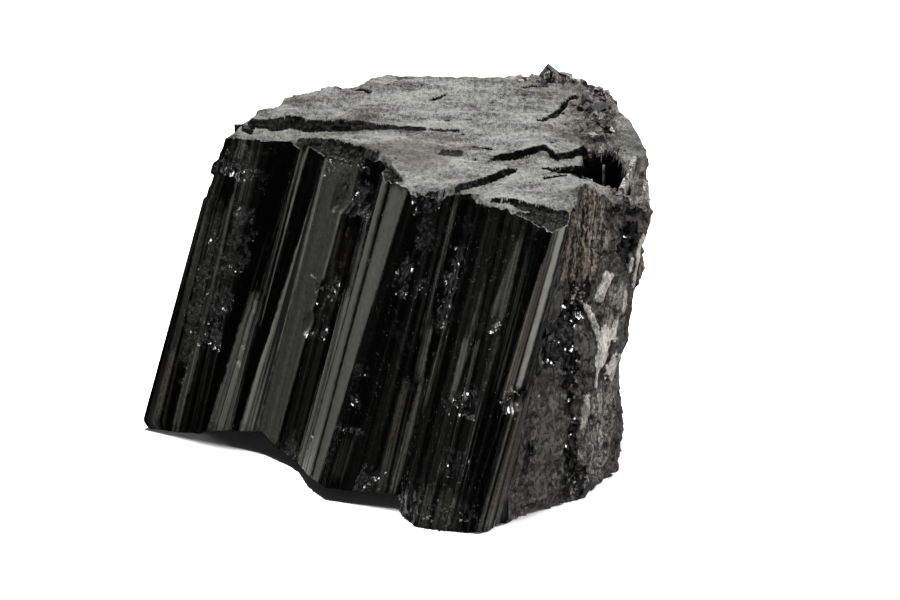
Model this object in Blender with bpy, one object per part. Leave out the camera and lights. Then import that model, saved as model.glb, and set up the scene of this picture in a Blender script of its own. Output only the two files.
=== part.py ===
"""Black tourmaline (schorl): one hand-sized block broken from a bundle of prisms grown side by side.

The crystal axis leans to the right. The front and the left back are prism faces, ribbed along the
axis. The top and the underside are fractures across it, and the right and the back are broken and
weathered. The block rests on the flats of its underside at z = 0. Lengths below are millimetres,
turned into metres where the mesh is made.
"""

import math
import random

import bmesh
import bpy
from mathutils import Vector, geometry, noise

MM = 0.001

# Every corner of the outline runs straight from the ground to the top plane, so a prism's edges
# stay parallel to the crystal axis and the broken sides are ruled between two outlines.
TOP_PLANE = 58.0
# x, y on the ground, x, y on the top plane, height of the foot, height of the rim
RIBBED_FRONT = (
    (-41.4, 7.5, -27.0, 2.0, 0.0, 57.0),
    (-36.2, 6.4, -24.0, 0.9, 0.0, 57.0),
    (-31.9, 5.8, -20.7, 0.4, 0.0, 57.0),
    (-30.9, 5.8, -14.9, 0.8, 0.4, 57.2),
    (-27.1, 1.9, -14.0, -0.8, 3.2, 59.3),
    (-25.6, 1.6, -10.9, -4.6, 3.2, 58.9),
    (-22.3, 0.3, -10.0, -6.0, 4.0, 59.1),
    (-19.1, -2.6, -7.0, -7.6, 2.2, 59.5),
    (-15.8, -4.3, -2.5, -9.4, 0.6, 59.3),
    (-14.1, -7.9, -1.1, -13.2, 0.4, 58.3),
    (-13.1, -8.8, 0.9, -14.7, 0.2, 58.2),
    (-11.5, -10.6, 3.1, -16.8, 0.0, 58.2),
    (-8.7, -12.3, 5.6, -17.8, 0.5, 58.1),
    (-1.7, -14.3, 9.8, -17.6, 1.0, 58.5),
    (0.2, -14.8, 12.1, -18.0, 1.0, 58.3),
    (1.3, -19.5, 13.3, -19.4, 0.0, 57.8),
    (3.5, -22.8, 16.1, -20.2, 0.0, 57.2),
    (6.1, -23.7, 18.3, -20.6, 0.0, 57.1),
    (9.4, -24.2, 22.1, -22.9, 0.0, 56.6),
    (11.5, -24.6, 25.7, -25.3, 0.0, 55.5),
    (15.2, -24.1, 28.2, -22.8, 0.0, 56.0),
)
BROKEN_RIGHT = (
    (17.4, -21.3, 28.4, -20.1, 0.0, 57.0),
    (21.1, -18.9, 28.9, -18.1, 0.0, 58.5),
    (24.3, -17.0, 30.2, -16.2, 0.0, 59.3),
    (27.6, -15.5, 32.5, -15.9, 0.0, 57.5),
    (30.8, -13.7, 35.5, -15.5, 0.0, 55.8),
    (32.2, -11.6, 38.3, -14.9, 1.0, 54.3),
    (35.9, -6.2, 41.1, -13.8, 0.5, 52.5),
    (36.6, 2.5, 40.5, -9.3, 1.0, 53.5),
    (36.1, 8.7, 40.0, -4.4, 1.0, 55.5),
    (34.6, 13.7, 39.6, -2.0, 1.5, 57.0),
    (31.6, 18.2, 39.2, 1.5, 1.0, 57.5),
    (28.1, 21.7, 36.9, 7.4, 0.5, 58.0),
    (23.1, 24.0, 34.9, 12.3, 0.0, 58.5),
    (18.6, 25.2, 32.9, 15.6, 0.0, 59.0),
)
BROKEN_BACK = (
    (15.1, 25.5, 30.4, 16.9, 0.5, 59.3),
    (10.1, 24.9, 24.8, 18.7, 1.0, 59.3),
    (3.1, 25.3, 19.9, 18.4, 0.5, 59.5),
    (-4.9, 24.5, 11.9, 17.7, 0.0, 59.5),
    (-11.9, 24.2, 0.6, 18.1, 0.5, 60.0),
)
RIBBED_LEFT_BACK = (
    (-14.5, 24.0, -1.8, 18.1, 0.5, 60.0),
    (-17.3, 22.6, -4.6, 16.4, 1.0, 60.0),
    (-24.8, 20.0, -12.1, 13.3, 0.0, 60.0),
    (-25.9, 18.6, -13.2, 11.9, 0.0, 60.0),
    (-30.3, 17.6, -17.6, 10.7, 0.5, 59.8),
    (-31.4, 15.6, -18.7, 8.7, 1.0, 59.6),
    (-34.6, 15.0, -21.1, 7.8, 1.0, 59.2),
    (-37.0, 13.2, -22.8, 6.0, 0.5, 58.8),
    (-39.9, 9.2, -25.4, 3.5, 0.2, 57.6),
)

# How the ribs and lumps between those corners are made: spacing along the outline and how far in.
RIB_PITCH = 2.0
RIB_DEPTH = 0.22
BROKEN_PITCH = 3.0
ROWS = 18
LUMP_SIZE = 7.0
LUMP_DEPTH = 0.9
RIBBED_LUMP_DEPTH = 0.06

# Pieces knocked out of the front and the right: x, y where the rib they lie on meets the ground,
# height, half width, half height, depth. A notch is cut off square below, so it leaves a ledge.
SCOOPS = (
    (-16.9, -3.7, 34.5, 1.7, 7.5, 1.7),
    (-18.8, -2.7, 27.0, 1.7, 2.6, 1.2),
    (-33.2, 6.0, 31.0, 3.4, 14.0, 0.8),
    (13.8, -24.3, 24.0, 2.4, 2.2, 1.3),
    (27.5, -15.5, 17.5, 1.8, 2.2, 1.6),
    (36.4, 1.5, 19.0, 13.0, 15.0, 2.3),
    (36.4, 1.5, 32.0, 13.0, 7.0, 2.2),
    (-41.5, 7.6, 54.0, 3.0, 11.0, 0.8),
)
NOTCHES = (
    (-16.6, -4.2, 54.5, 4.4, 6.0, 2.4),
    (-35.4, 6.2, 55.5, 4.4, 5.5, 1.2),
)

# Ledges on the top: x, y, drop of each point. The surface falls by the drop on the right-hand side
# of the line, seen along it, and climbs back over LEDGE_REACH.
LEDGES = (
    ((-21.6, 5.2, 1.4), (-17.8, 4.4, 2.0), (-11.5, 2.4, 1.9), (-4.4, 2.8, 1.0), (4.4, 1.5, 0.5),
     (15.4, -1.2, 0.1)),
    ((14.4, -8.9, 0.3), (17.3, -5.0, 1.2), (20.6, -4.7, 1.0), (23.8, -3.0, 0.8), (26.1, -5.3, 1.0),
     (28.9, -4.0, 0.6)),
    ((10.9, -16.2, 1.6), (16.0, -11.4, 1.5), (18.7, -9.2, 0.7), (23.7, -9.2, 0.5),
     (27.8, -7.8, 0.6)),
)
LEDGE_REACH = 8.0
LEDGE_RUN = 0.5
LEDGE_PITCH = 1.6

# The pocket broken out of the top's right corner.
POCKET = ((29.6, -4.6), (30.4, -1.8), (32.2, -0.8), (34.2, -1.6), (36.2, -3.6), (37.2, -7.2),
          (36.4, -10.8), (34.4, -12.9), (32.2, -12.6), (30.6, -10.4), (29.4, -7.6))
POCKET_DEPTH = 8.0
POCKET_WALL = 1.6

# Shards left standing on the back rim: x, y, height, radius.
SHARDS = ((24.6, 17.6, 2.6, 1.9), (27.4, 16.2, 1.6, 1.9), (29.8, 15.0, 1.0, 1.7))

# Heights inside the top and the underside: x, y, z. Below zero, the underside is cut flat at z = 0.
TOP_LEVELS = ((-16.0, 6.0, 59.8), (-4.0, 8.0, 59.8), (10.0, 8.0, 59.3), (22.0, 6.0, 59.2),
              (33.0, 4.0, 58.3), (0.0, -6.0, 59.3), (10.0, -10.0, 58.8), (19.0, -17.5, 57.7),
              (24.0, -18.5, 57.6), (26.5, -12.0, 58.4), (22.0, -4.0, 58.9))
FOOT_LEVELS = ((-26.0, 8.0, 1.2), (-20.0, 10.0, -1.0), (-10.0, 14.0, -1.2), (-4.0, -4.0, -0.6),
               (8.0, -14.0, -1.2), (14.0, -16.0, -1.5), (24.0, -6.0, -1.2), (26.0, 8.0, -1.2),
               (8.0, 18.0, -1.2), (8.0, 2.0, 0.7), (-14.0, 2.0, 0.9), (2.0, 10.0, 0.6))

CAP_SPACING = 2.1
CAP_GRAIN = 0.22
FOOT_GRAIN = 0.5


def smooth_step(value):
    """Ease from 0 to 1 as value goes from 0 to 1."""
    value = min(max(value, 0.0), 1.0)
    return value * value * (3.0 - 2.0 * value)


def lerp(start, end, share):
    return tuple(a + (b - a) * share for a, b in zip(start, end))


def outward(before, after):
    """Unit normal, in plan, of an outline that runs counter-clockwise from before to after."""
    normal = Vector((after[1] - before[1], before[0] - after[0]))
    return normal.normalized()


def nearest_on(place, start, end):
    """Distance in plan from a place to a line between two ends, and how far along that lies."""
    _, share = geometry.intersect_point_line(place, Vector(start[:2]), Vector(end[:2]))
    share = min(max(share, 0.0), 1.0)
    return (place - Vector(lerp(start[:2], end[:2], share))).length, share


def inside_outline(place, outline):
    """Whether a place lies inside a closed outline: a line to its right crosses it an odd time."""
    crossings = 0
    for start, end in zip(outline, outline[1:] + outline[:1]):
        if (start[1] > place[1]) != (end[1] > place[1]):
            climb = (place[1] - start[1]) / (end[1] - start[1])
            crossings += start[0] + (end[0] - start[0]) * climb > place[0]
    return crossings % 2 == 1


def ribbed_columns(corners, following, seed):
    """Columns along prism faces: each face between two corners carries a few shallow ribs."""
    chance = random.Random(seed)
    columns = []
    for corner, after in zip(corners, corners[1:] + (following,)):
        normal = outward(corner[:2], after[:2])
        columns.append({"corner": corner, "ribbed": True})
        width = math.dist(corner[:2], after[:2])
        ribs = max(1, round(width / RIB_PITCH))
        for rib in range(1, ribs):
            share = (rib + chance.uniform(-0.25, 0.25)) / ribs
            inset = RIB_DEPTH * (1 if rib % 2 else -1) * chance.uniform(0.5, 1.0)
            across = lerp(corner, after, share)
            shifted = (across[0] - normal.x * inset, across[1] - normal.y * inset,
                       across[2] - normal.x * inset, across[3] - normal.y * inset)
            columns.append({"corner": shifted + across[4:], "ribbed": True})
    return columns


def broken_columns(corners, following):
    """Evenly spaced columns along a broken side."""
    columns = []
    for corner, after in zip(corners, corners[1:] + (following,)):
        steps = max(1, round(math.dist(corner[:2], after[:2]) / BROKEN_PITCH))
        for step in range(steps):
            columns.append({"corner": lerp(corner, after, step / steps), "ribbed": False})
    return columns


def all_columns():
    """All columns of the outline, counter-clockwise from the left edge, each with its normal."""
    columns = ribbed_columns(RIBBED_FRONT, BROKEN_RIGHT[0], seed=4)
    columns += broken_columns(BROKEN_RIGHT, BROKEN_BACK[0])
    columns += broken_columns(BROKEN_BACK, RIBBED_LEFT_BACK[0])
    columns += ribbed_columns(RIBBED_LEFT_BACK, RIBBED_FRONT[0], seed=9)
    for index, column in enumerate(columns):
        before = columns[index - 1]["corner"]
        after = columns[(index + 1) % len(columns)]["corner"]
        column["normal"] = outward(before[:2], after[:2])
    return columns


def knocked_out(x, y, height):
    """Depth of the scoops and notches at a height on the rib that meets the ground at x, y."""
    depth = 0.0
    for centre_x, centre_y, middle, half_width, half_height, deepest in SCOOPS:
        aside = math.hypot(x - centre_x, y - centre_y) / half_width
        away = aside ** 2 + ((height - middle) / half_height) ** 2
        depth = max(depth, deepest * (1.0 - away))
    for centre_x, centre_y, middle, half_width, half_height, deepest in NOTCHES:
        climb = (height - middle + half_height) / (2.0 * half_height)
        aside = math.hypot(x - centre_x, y - centre_y) / half_width
        if 0.0 <= climb and aside < 1.0:
            depth = max(depth, deepest * min(1.0, 3.0 * (1.0 - aside)) * (1.0 - 0.4 * climb))
    return depth


def column_point(column, height):
    """Where a column stands in plan at a height, with its chips and lumps."""
    corner = column["corner"]
    x, y = lerp(corner[0:2], corner[2:4], height / TOP_PLANE)
    lump = noise.fractal(Vector((x, y, 0.7 * height)) / LUMP_SIZE, 1.0, 2.0, 3)
    depth = lump * (RIBBED_LUMP_DEPTH if column["ribbed"] else LUMP_DEPTH)
    depth += knocked_out(corner[0], corner[1], height)
    return x - column["normal"].x * depth, y - column["normal"].y * depth


def blended_level(x, y, levels):
    """Height at a place in plan, blended from known heights by the inverse cube of distance."""
    total = 0.0
    weights = 0.0
    for level_x, level_y, level in levels:
        weight = 1.0 / (0.05 + math.hypot(x - level_x, y - level_y) ** 3)
        total += weight * level
        weights += weight
    return total / weights


def ledge_drop(x, y, ledge):
    """How far the top lies below its upper level beside one ledge."""
    place = Vector((x, y))
    nearest = None
    for start, end in zip(ledge, ledge[1:]):
        reach, share = nearest_on(place, start, end)
        if nearest is None or reach < nearest[0]:
            right = (end[0] - start[0]) * (y - start[1]) < (end[1] - start[1]) * (x - start[0])
            nearest = (reach, right, start[2] + (end[2] - start[2]) * share)
    reach, right, drop = nearest
    if not right:
        return 0.0
    return drop * smooth_step(reach / LEDGE_RUN) * (1.0 - smooth_step(reach / LEDGE_REACH))


def level_at_rim(corner):
    """Place and height of the top at a corner of the rim, as it was before the ledges dropped."""
    x, y, rim = corner[2], corner[3], corner[5]
    return x, y, rim + sum(ledge_drop(x, y, ledge) for ledge in LEDGES)


def pocket_depth(x, y):
    """How far the pocket's wall or floor lies below the top."""
    if not inside_outline((x, y), POCKET):
        return 0.0
    sides = zip(POCKET, POCKET[1:] + POCKET[:1])
    reach = min(nearest_on(Vector((x, y)), start, end)[0] for start, end in sides)
    return POCKET_DEPTH * smooth_step(reach / POCKET_WALL)


def top_height(x, y, rim_levels):
    """Height of the top fracture: its levels, ledges, pocket, shards and grain."""
    height = blended_level(x, y, rim_levels + TOP_LEVELS)
    height -= sum(ledge_drop(x, y, ledge) for ledge in LEDGES)
    height -= pocket_depth(x, y)
    for shard_x, shard_y, tall, radius in SHARDS:
        reach = math.hypot(x - shard_x, y - shard_y)
        height += tall * max(0.0, 1.0 - reach / radius)
    return height + CAP_GRAIN * noise.fractal(Vector((x, y, 3.0)) / 3.0, 1.0, 2.0, 2)


def foot_height(x, y, foot_levels):
    """Height of the underside, cut flat where it touches the ground."""
    grain = FOOT_GRAIN * noise.fractal(Vector((x, y, 40.0)) / 6.0, 1.0, 2.0, 2)
    return max(0.0, blended_level(x, y, foot_levels + FOOT_LEVELS) + grain)


def inside_points(rim, spacing, seed):
    """A jittered triangular grid of points inside the rim, clear of it."""
    chance = random.Random(seed)
    corners = [Vector(place) for place in rim]
    low_x, high_x = min(c.x for c in corners), max(c.x for c in corners)
    low_y, high_y = min(c.y for c in corners), max(c.y for c in corners)
    rows = int((high_y - low_y) / (spacing * 0.866)) + 1
    per_row = int((high_x - low_x) / spacing) + 2
    points = []
    for row in range(rows):
        for step in range(per_row):
            place = Vector((low_x + (step + 0.5 * (row % 2)) * spacing, low_y + row * spacing * 0.866))
            place += Vector((chance.uniform(-1, 1), chance.uniform(-1, 1))) * 0.2 * spacing
            if clear_inside(place, corners, 0.45 * spacing):
                points.append(place)
    return points


def clear_inside(place, corners, gap):
    """Whether a place lies inside the outline and at least a gap away from it."""
    sides = zip(corners, corners[1:] + corners[:1])
    if any(nearest_on(place, start, end)[0] < gap for start, end in sides):
        return False
    return inside_outline(place, corners)


def add_cap(mesh, rim, height_at, extra_points, seed):
    """Close the rim with a triangulated fracture whose height follows height_at(x, y)."""
    outline = [Vector((vert.co.x, vert.co.y)) / MM for vert in rim]
    points = inside_points(outline, CAP_SPACING, seed)
    points = [p for p in points if all((p - e).length > 0.4 * CAP_SPACING for e in extra_points)]
    points += [e for e in extra_points if clear_inside(e, outline, 0.4)]
    edges = [(index, (index + 1) % len(outline)) for index in range(len(outline))]
    face = list(range(len(outline)))
    places, _, faces, origins, _, _ = geometry.delaunay_2d_cdt(
        outline + points, edges, [face], 1, 1e-6)
    verts = []
    for place, origin in zip(places, origins):
        on_rim = [index for index in origin if index < len(rim)]
        if on_rim:
            verts.append(rim[on_rim[0]])
        else:
            verts.append(mesh.verts.new((place.x * MM, place.y * MM, height_at(place.x, place.y) * MM)))
    for corner_indices in faces:
        mesh.faces.new([verts[index] for index in corner_indices])


def ledge_points():
    """Points along the upper edge and the foot of every ledge, so each step is crisp."""
    points = []
    for ledge in LEDGES:
        for start, end in zip(ledge, ledge[1:]):
            along = Vector(end[:2]) - Vector(start[:2])
            steps = max(1, round(along.length / LEDGE_PITCH))
            aside = Vector((along.y, -along.x)).normalized() * LEDGE_RUN
            for step in range(steps):
                upper = Vector(start[:2]) + along * (step / steps)
                points += [upper, upper + aside]
    return points


def pocket_points():
    """Points along the pocket's rim and the foot of its wall."""
    middle = sum((Vector(place) for place in POCKET), Vector((0.0, 0.0))) / len(POCKET)
    points = []
    for start, end in zip(POCKET, POCKET[1:] + POCKET[:1]):
        for share in (0.0, 0.5):
            edge = Vector(lerp(start, end, share))
            points += [edge, edge + (middle - edge).normalized() * POCKET_WALL]
    return points


def stone_mesh():
    """The whole stone: a ruled skin of columns and rows, a fractured top and a fractured underside."""
    columns = all_columns()
    rim_levels = tuple(level_at_rim(column["corner"]) for column in columns)
    foot_levels = tuple((c["corner"][0], c["corner"][1], c["corner"][4]) for c in columns)
    mesh = bmesh.new()
    rings = [[] for _ in range(ROWS + 1)]
    for column in columns:
        foot, rim = column["corner"][4:6]
        for row in range(ROWS + 1):
            height = foot + (rim - foot) * row / ROWS
            x, y = column_point(column, height)
            rings[row].append(mesh.verts.new((x * MM, y * MM, height * MM)))
    for below, above in zip(rings, rings[1:]):
        for index in range(len(columns)):
            after = (index + 1) % len(columns)
            mesh.faces.new((below[index], below[after], above[after], above[index]))
    top_points = ledge_points() + pocket_points() + [Vector(shard[:2]) for shard in SHARDS]
    add_cap(mesh, rings[-1], lambda x, y: top_height(x, y, rim_levels), top_points, seed=2)
    add_cap(mesh, rings[0], lambda x, y: foot_height(x, y, foot_levels), [], seed=5)
    bmesh.ops.triangulate(mesh, faces=[face for face in mesh.faces if len(face.verts) > 3])
    bmesh.ops.recalc_face_normals(mesh, faces=mesh.faces)
    return mesh


def stone_material():
    """Glossy black schorl."""
    material = bpy.data.materials.new("tourmaline")
    material.use_nodes = True
    shader = material.node_tree.nodes["Principled BSDF"]
    shader.inputs["Base Color"].default_value = (0.014, 0.014, 0.013, 1.0)
    shader.inputs["Roughness"].default_value = 0.35
    shader.inputs["Metallic"].default_value = 0.0
    shader.inputs["IOR"].default_value = 1.64
    return material


def add_stone():
    data = bpy.data.meshes.new("tourmaline")
    mesh = stone_mesh()
    mesh.to_mesh(data)
    mesh.free()
    data.materials.append(stone_material())
    stone = bpy.data.objects.new("tourmaline", data)
    bpy.context.scene.collection.objects.link(stone)
    return stone


def main():
    for old in list(bpy.data.objects):
        bpy.data.objects.remove(old)
    add_stone()


main()
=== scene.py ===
"""Black tourmaline (schorl) specimen: the fine surface, its finishes and a small studio.

Run as a script in Blender 4.5. Lengths in the tables are millimetres; objects are in metres.
"""
import math
import random

import bpy
import numpy as np
from mathutils import Euler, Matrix, Vector, geometry, noise


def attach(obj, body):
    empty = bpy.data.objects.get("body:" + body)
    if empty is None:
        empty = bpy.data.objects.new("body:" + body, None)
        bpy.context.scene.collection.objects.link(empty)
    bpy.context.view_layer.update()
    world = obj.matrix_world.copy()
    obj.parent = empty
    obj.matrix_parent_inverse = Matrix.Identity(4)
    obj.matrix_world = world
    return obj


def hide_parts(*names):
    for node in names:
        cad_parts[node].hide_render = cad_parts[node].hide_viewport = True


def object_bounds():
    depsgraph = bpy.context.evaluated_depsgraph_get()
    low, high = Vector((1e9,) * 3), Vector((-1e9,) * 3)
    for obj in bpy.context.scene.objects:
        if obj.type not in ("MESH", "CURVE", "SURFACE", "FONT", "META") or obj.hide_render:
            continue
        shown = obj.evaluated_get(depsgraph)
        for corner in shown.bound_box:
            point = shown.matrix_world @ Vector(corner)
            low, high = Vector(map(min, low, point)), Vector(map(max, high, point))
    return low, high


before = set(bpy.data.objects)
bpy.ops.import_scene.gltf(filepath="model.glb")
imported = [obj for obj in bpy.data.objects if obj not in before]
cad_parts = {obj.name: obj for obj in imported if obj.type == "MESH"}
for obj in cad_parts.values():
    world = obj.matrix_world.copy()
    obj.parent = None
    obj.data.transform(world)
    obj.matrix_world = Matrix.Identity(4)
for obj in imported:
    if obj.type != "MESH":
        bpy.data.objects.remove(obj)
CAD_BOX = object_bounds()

bl_info = {
    "name": "Black tourmaline specimen",
    "version": (1, 0, 0),
    "blender": (4, 5, 0),
    "location": "3D View > Sidebar > Tourmaline",
    "description": "Builds a rough schorl specimen with its finishes, and a plain studio round it",
    "category": "Object",
}

MM = 0.001
# Height of the plane in which the top outline is given.
TOP_PLANE = 58.0
# Corners of the outline, counter-clockwise from the left edge: x, y on the ground, x, y on the top
# plane, height of the foot, height of the rim; then how the prism face that follows is made:
# pitch of its ribs, their depth, and how uneven it is.
RIBBED_FRONT = (
    (-41.4, 7.5, -27, 2, 0, 57.3, 0.8, 0.12, 0.12), (-36.2, 6.4, -24, 0.9, 0, 57, 1.1, 0.12, 0.16),
    (-31.9, 5.8, -20.7, 0.4, 0, 57, 1.2, 0.06, 0.06),
    (-30.9, 5.8, -14.9, 0.8, 0.4, 57.2, 0.7, 0.14, 0.05),
    (-27.1, 1.9, -14, -0.8, 3.2, 59.3, 0.7, 0.12, 0.05),
    (-25.6, 1.6, -10.9, -4.6, 3.2, 58.9, 1.2, 0.08, 0.02),
    (-22.3, 0.3, -10, -6, 4, 59.1, 1.9, 0.02, 0.012),
    (-19.1, -2.6, -7, -7.6, 2.2, 59.5, 1.4, 0.06, 0.1),
    (-15.8, -6, -2.5, -9.4, 1.6, 59.3, 0.8, 0.18, 0.08),
    (-14.1, -11, -1.1, -13.2, 2.2, 58.3, 1, 0.04, 0.02),
    (-13.1, -12.3, 0.9, -14.7, 2.2, 58.2, 1.3, 0.04, 0.02),
    (-11.5, -14.4, 3.1, -16.8, 2.2, 58.2, 1.4, 0.08, 0.14),
    (-8.7, -15.2, 5.6, -17.8, 2.2, 58.1, 1.2, 0.14, 0.2),
    (-1.7, -16.7, 9.8, -17.6, 2.4, 58.5, 0.8, 0.16, 0.12),
    (0.2, -16.9, 12.1, -18, 2.2, 58.3, 1.2, 0.12, 0.16),
    (1.3, -19.5, 13.3, -19.4, 0, 57.8, 1.1, 0.1, 0.1),
    (3.5, -22.8, 16.1, -20.2, 0, 57.2, 1, 0.16, 0.15),
    (6.1, -23.7, 18.3, -20.6, 0, 57.1, 0.9, 0.16, 0.18),
    (9.4, -24.2, 22.1, -22.9, 0, 56.6, 0.9, 0.18, 0.16),
    (11.5, -24.6, 25.7, -25.3, 0, 55.5, 0.8, 0.14, 0.05),
    (15.2, -24.1, 28.2, -22.8, 0, 56, 0.8, 0.2, 0.1))
BROKEN_RIGHT = (
    (17.4, -21.3, 28.4, -20.1, 0, 57), (21.1, -18.9, 28.9, -18.1, 0, 58.5),
    (24.3, -17, 30.2, -16.2, 0, 59.3), (27.6, -15.5, 32.5, -15.9, 0, 57.5),
    (30.8, -13.7, 35.5, -15.5, 0, 55.8), (32.2, -11.6, 38.3, -14.9, 1, 54.3),
    (35.9, -6.2, 40.8, -13.8, 0.5, 52.5), (36.6, 2.5, 40.2, -9.3, 1, 53.5))
BROKEN_BACK = (
    (36.1, 8.7, 39.7, -4.4, 1, 55.5), (34.6, 13.7, 39.6, -2, 1.5, 57), (31.6, 18.2, 39.2, 1.5, 1, 57.5),
    (28.1, 21.7, 36.9, 7.4, 0.5, 58), (23.1, 24, 34.9, 12.3, 0, 58.5), (18.6, 25.2, 32.9, 15.6, 0, 59),
    (15.1, 25.5, 30.4, 16.9, 0.5, 59.3), (10.1, 24.9, 24.8, 18.7, 1, 59.5),
    (3.1, 25.3, 19.9, 18.4, 0.5, 59.8), (-4.9, 24.5, 11.9, 17.7, 0, 59.9),
    (-11.9, 24.2, 0.6, 18.1, 0.5, 60.1))
RIBBED_LEFT_BACK = (
    (-14.5, 24, -1.8, 18.1, 0.5, 60, 1.2, 0.2, 0.15), (-17.3, 22.9, -4.1, 17.2, 1, 60, 1.2, 0.2, 0.15),
    (-17.9, 21.6, -4.6, 16, 1, 60.2, 1.4, 0.24, 0.12), (-24.8, 20, -12, 13.3, 0, 60.4, 1, 0.16, 0.15),
    (-25.4, 18.6, -12.4, 11.9, 0, 60.7, 1.2, 0.24, 0.1),
    (-30.5, 17.6, -17.9, 10.7, 0.5, 59.9, 1, 0.16, 0.15),
    (-31, 15.6, -18.4, 8.7, 1, 59.6, 1.2, 0.24, 0.1), (-34.8, 15, -21.9, 7.6, 1, 59.3, 1, 0.16, 0.15),
    (-35.4, 13.2, -22.3, 5.9, 0.5, 59.1, 1.2, 0.2, 0.1),
    (-39.9, 9.2, -25.2, 3.7, 0.2, 57.8, 1, 0.1, 0.1))
# Spacing of the mesh's columns on each side, and its number of rows.
FRONT_SPACING = 0.30
RIGHT_SPACING = 0.36
BACK_SPACING = 0.95
LEFT_BACK_SPACING = 0.6
ROWS = 128
# Size and depth of the low lumps of the broken sides.
LUMP_SIZE = 7.0
LUMP_DEPTH = 0.9

# Pieces knocked out: x, y where the rib they lie on meets the ground, height, half width,
# half height, depth. A notch is cut off square below, so it leaves a ledge.
SCOOPS = (
    (-16.9, -3.7, 34.5, 1.7, 7.5, 1.7), (-18.8, -2.7, 27, 1.7, 2.6, 1.2), (-33.2, 6, 31, 3.4, 14, 0.8),
    (13.8, -24.3, 24, 2.4, 2.2, 1.3), (27.5, -15.5, 17.5, 1.8, 2.2, 1.6), (36.4, 1.5, 19, 13, 15, 2.3),
    (36.4, 1.5, 32.3, 13, 7.6, 2.2), (-41.5, 7.6, 54, 3, 11, 0.8))
NOTCH_LEDGE = 1.3
NOTCHES = ((-16.6, -4.2, 54.5, 4.4, 6, 2.4), (-35.4, 6.2, 55.5, 4.4, 5.5, 1.2))

# On the sides, a place is given as its distance round the outline, measured at mid height from
# the left edge, and its height.
# Steps, each a long narrow facet that faces left: place of its low end, of its high end, width,
# depth.
STEPS = (
    (1.2, 0, 1, 44, 0.4, 0.25), (2, 3, 2.3, 40, 0.3, 0.15), (4.9, 0, 5.6, 51, 0.7, 0.35),
    (9.4, 28, 8.9, 56, 0.35, 0.2), (10.7, 47, 10.6, 57, 0.3, 0.2), (12.5, 27, 12.6, 50, 0.4, 0.2),
    (14.9, 25, 15, 45, 1, 0.3), (15.8, 24, 16.1, 57, 0.5, 0.3), (12.4, 0, 12.3, 26, 0.5, 0.15),
    (13.4, 0, 13.4, 26, 0.5, 0.2), (14.4, 0, 14.6, 26, 0.5, 0.2), (16.9, 44, 16.9, 57, 0.3, 0.15),
    (25.3, 36, 25.5, 49, 0.4, 0.2), (31.4, 16, 31.6, 30, 0.3, 0.18), (34.6, 0, 34.9, 57, 0.25, 0.32),
    (46.5, 44, 46.2, 57, 0.4, 0.2), (48, 33, 47.9, 57, 0.6, 0.3), (45.2, 5, 45.8, 24, 0.4, 0.2),
    (46.2, 3, 46.6, 22, 0.4, 0.15), (49, 22, 49, 34, 1.2, 0.4), (48.2, 1, 49.8, 24, 1, 0.35),
    (51.9, 26, 52.2, 36, 0.4, 0.2), (51.8, 50, 52.4, 57, 0.4, 0.2), (54.6, 14, 55.4, 26, 0.35, 0.2),
    (56, 24, 56.2, 34, 0.9, 0.35), (56.6, 34, 56.5, 44, 0.6, 0.3), (55.9, 44, 54.9, 57, 0.4, 0.25),
    (57.2, 44, 57.6, 57, 0.4, 0.2), (60.8, 36, 60.5, 53, 1.4, 0.3), (61.5, 34, 61.6, 45, 0.6, 0.25),
    (61.3, 7, 61.3, 34, 0.4, 0.25), (62.4, 8, 63.1, 25, 0.3, 0.2), (57.2, 11, 57.3, 34, 0.35, 0.2),
    (65, 2, 65.4, 20, 0.3, 0.2), (42.2, 14, 42.2, 30, 0.3, 0.15), (43.3, 15, 43.3, 30, 0.3, 0.15),
    (44.6, 15, 44.8, 30, 0.3, 0.15), (43.4, 33, 43.6, 40, 0.6, 0.2), (64.6, 27, 64.4, 57, 0.5, 0.2),
    (65.6, 27, 65.6, 57, 0.5, 0.25), (66.8, 27, 67, 57, 0.7, 0.25))
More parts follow.
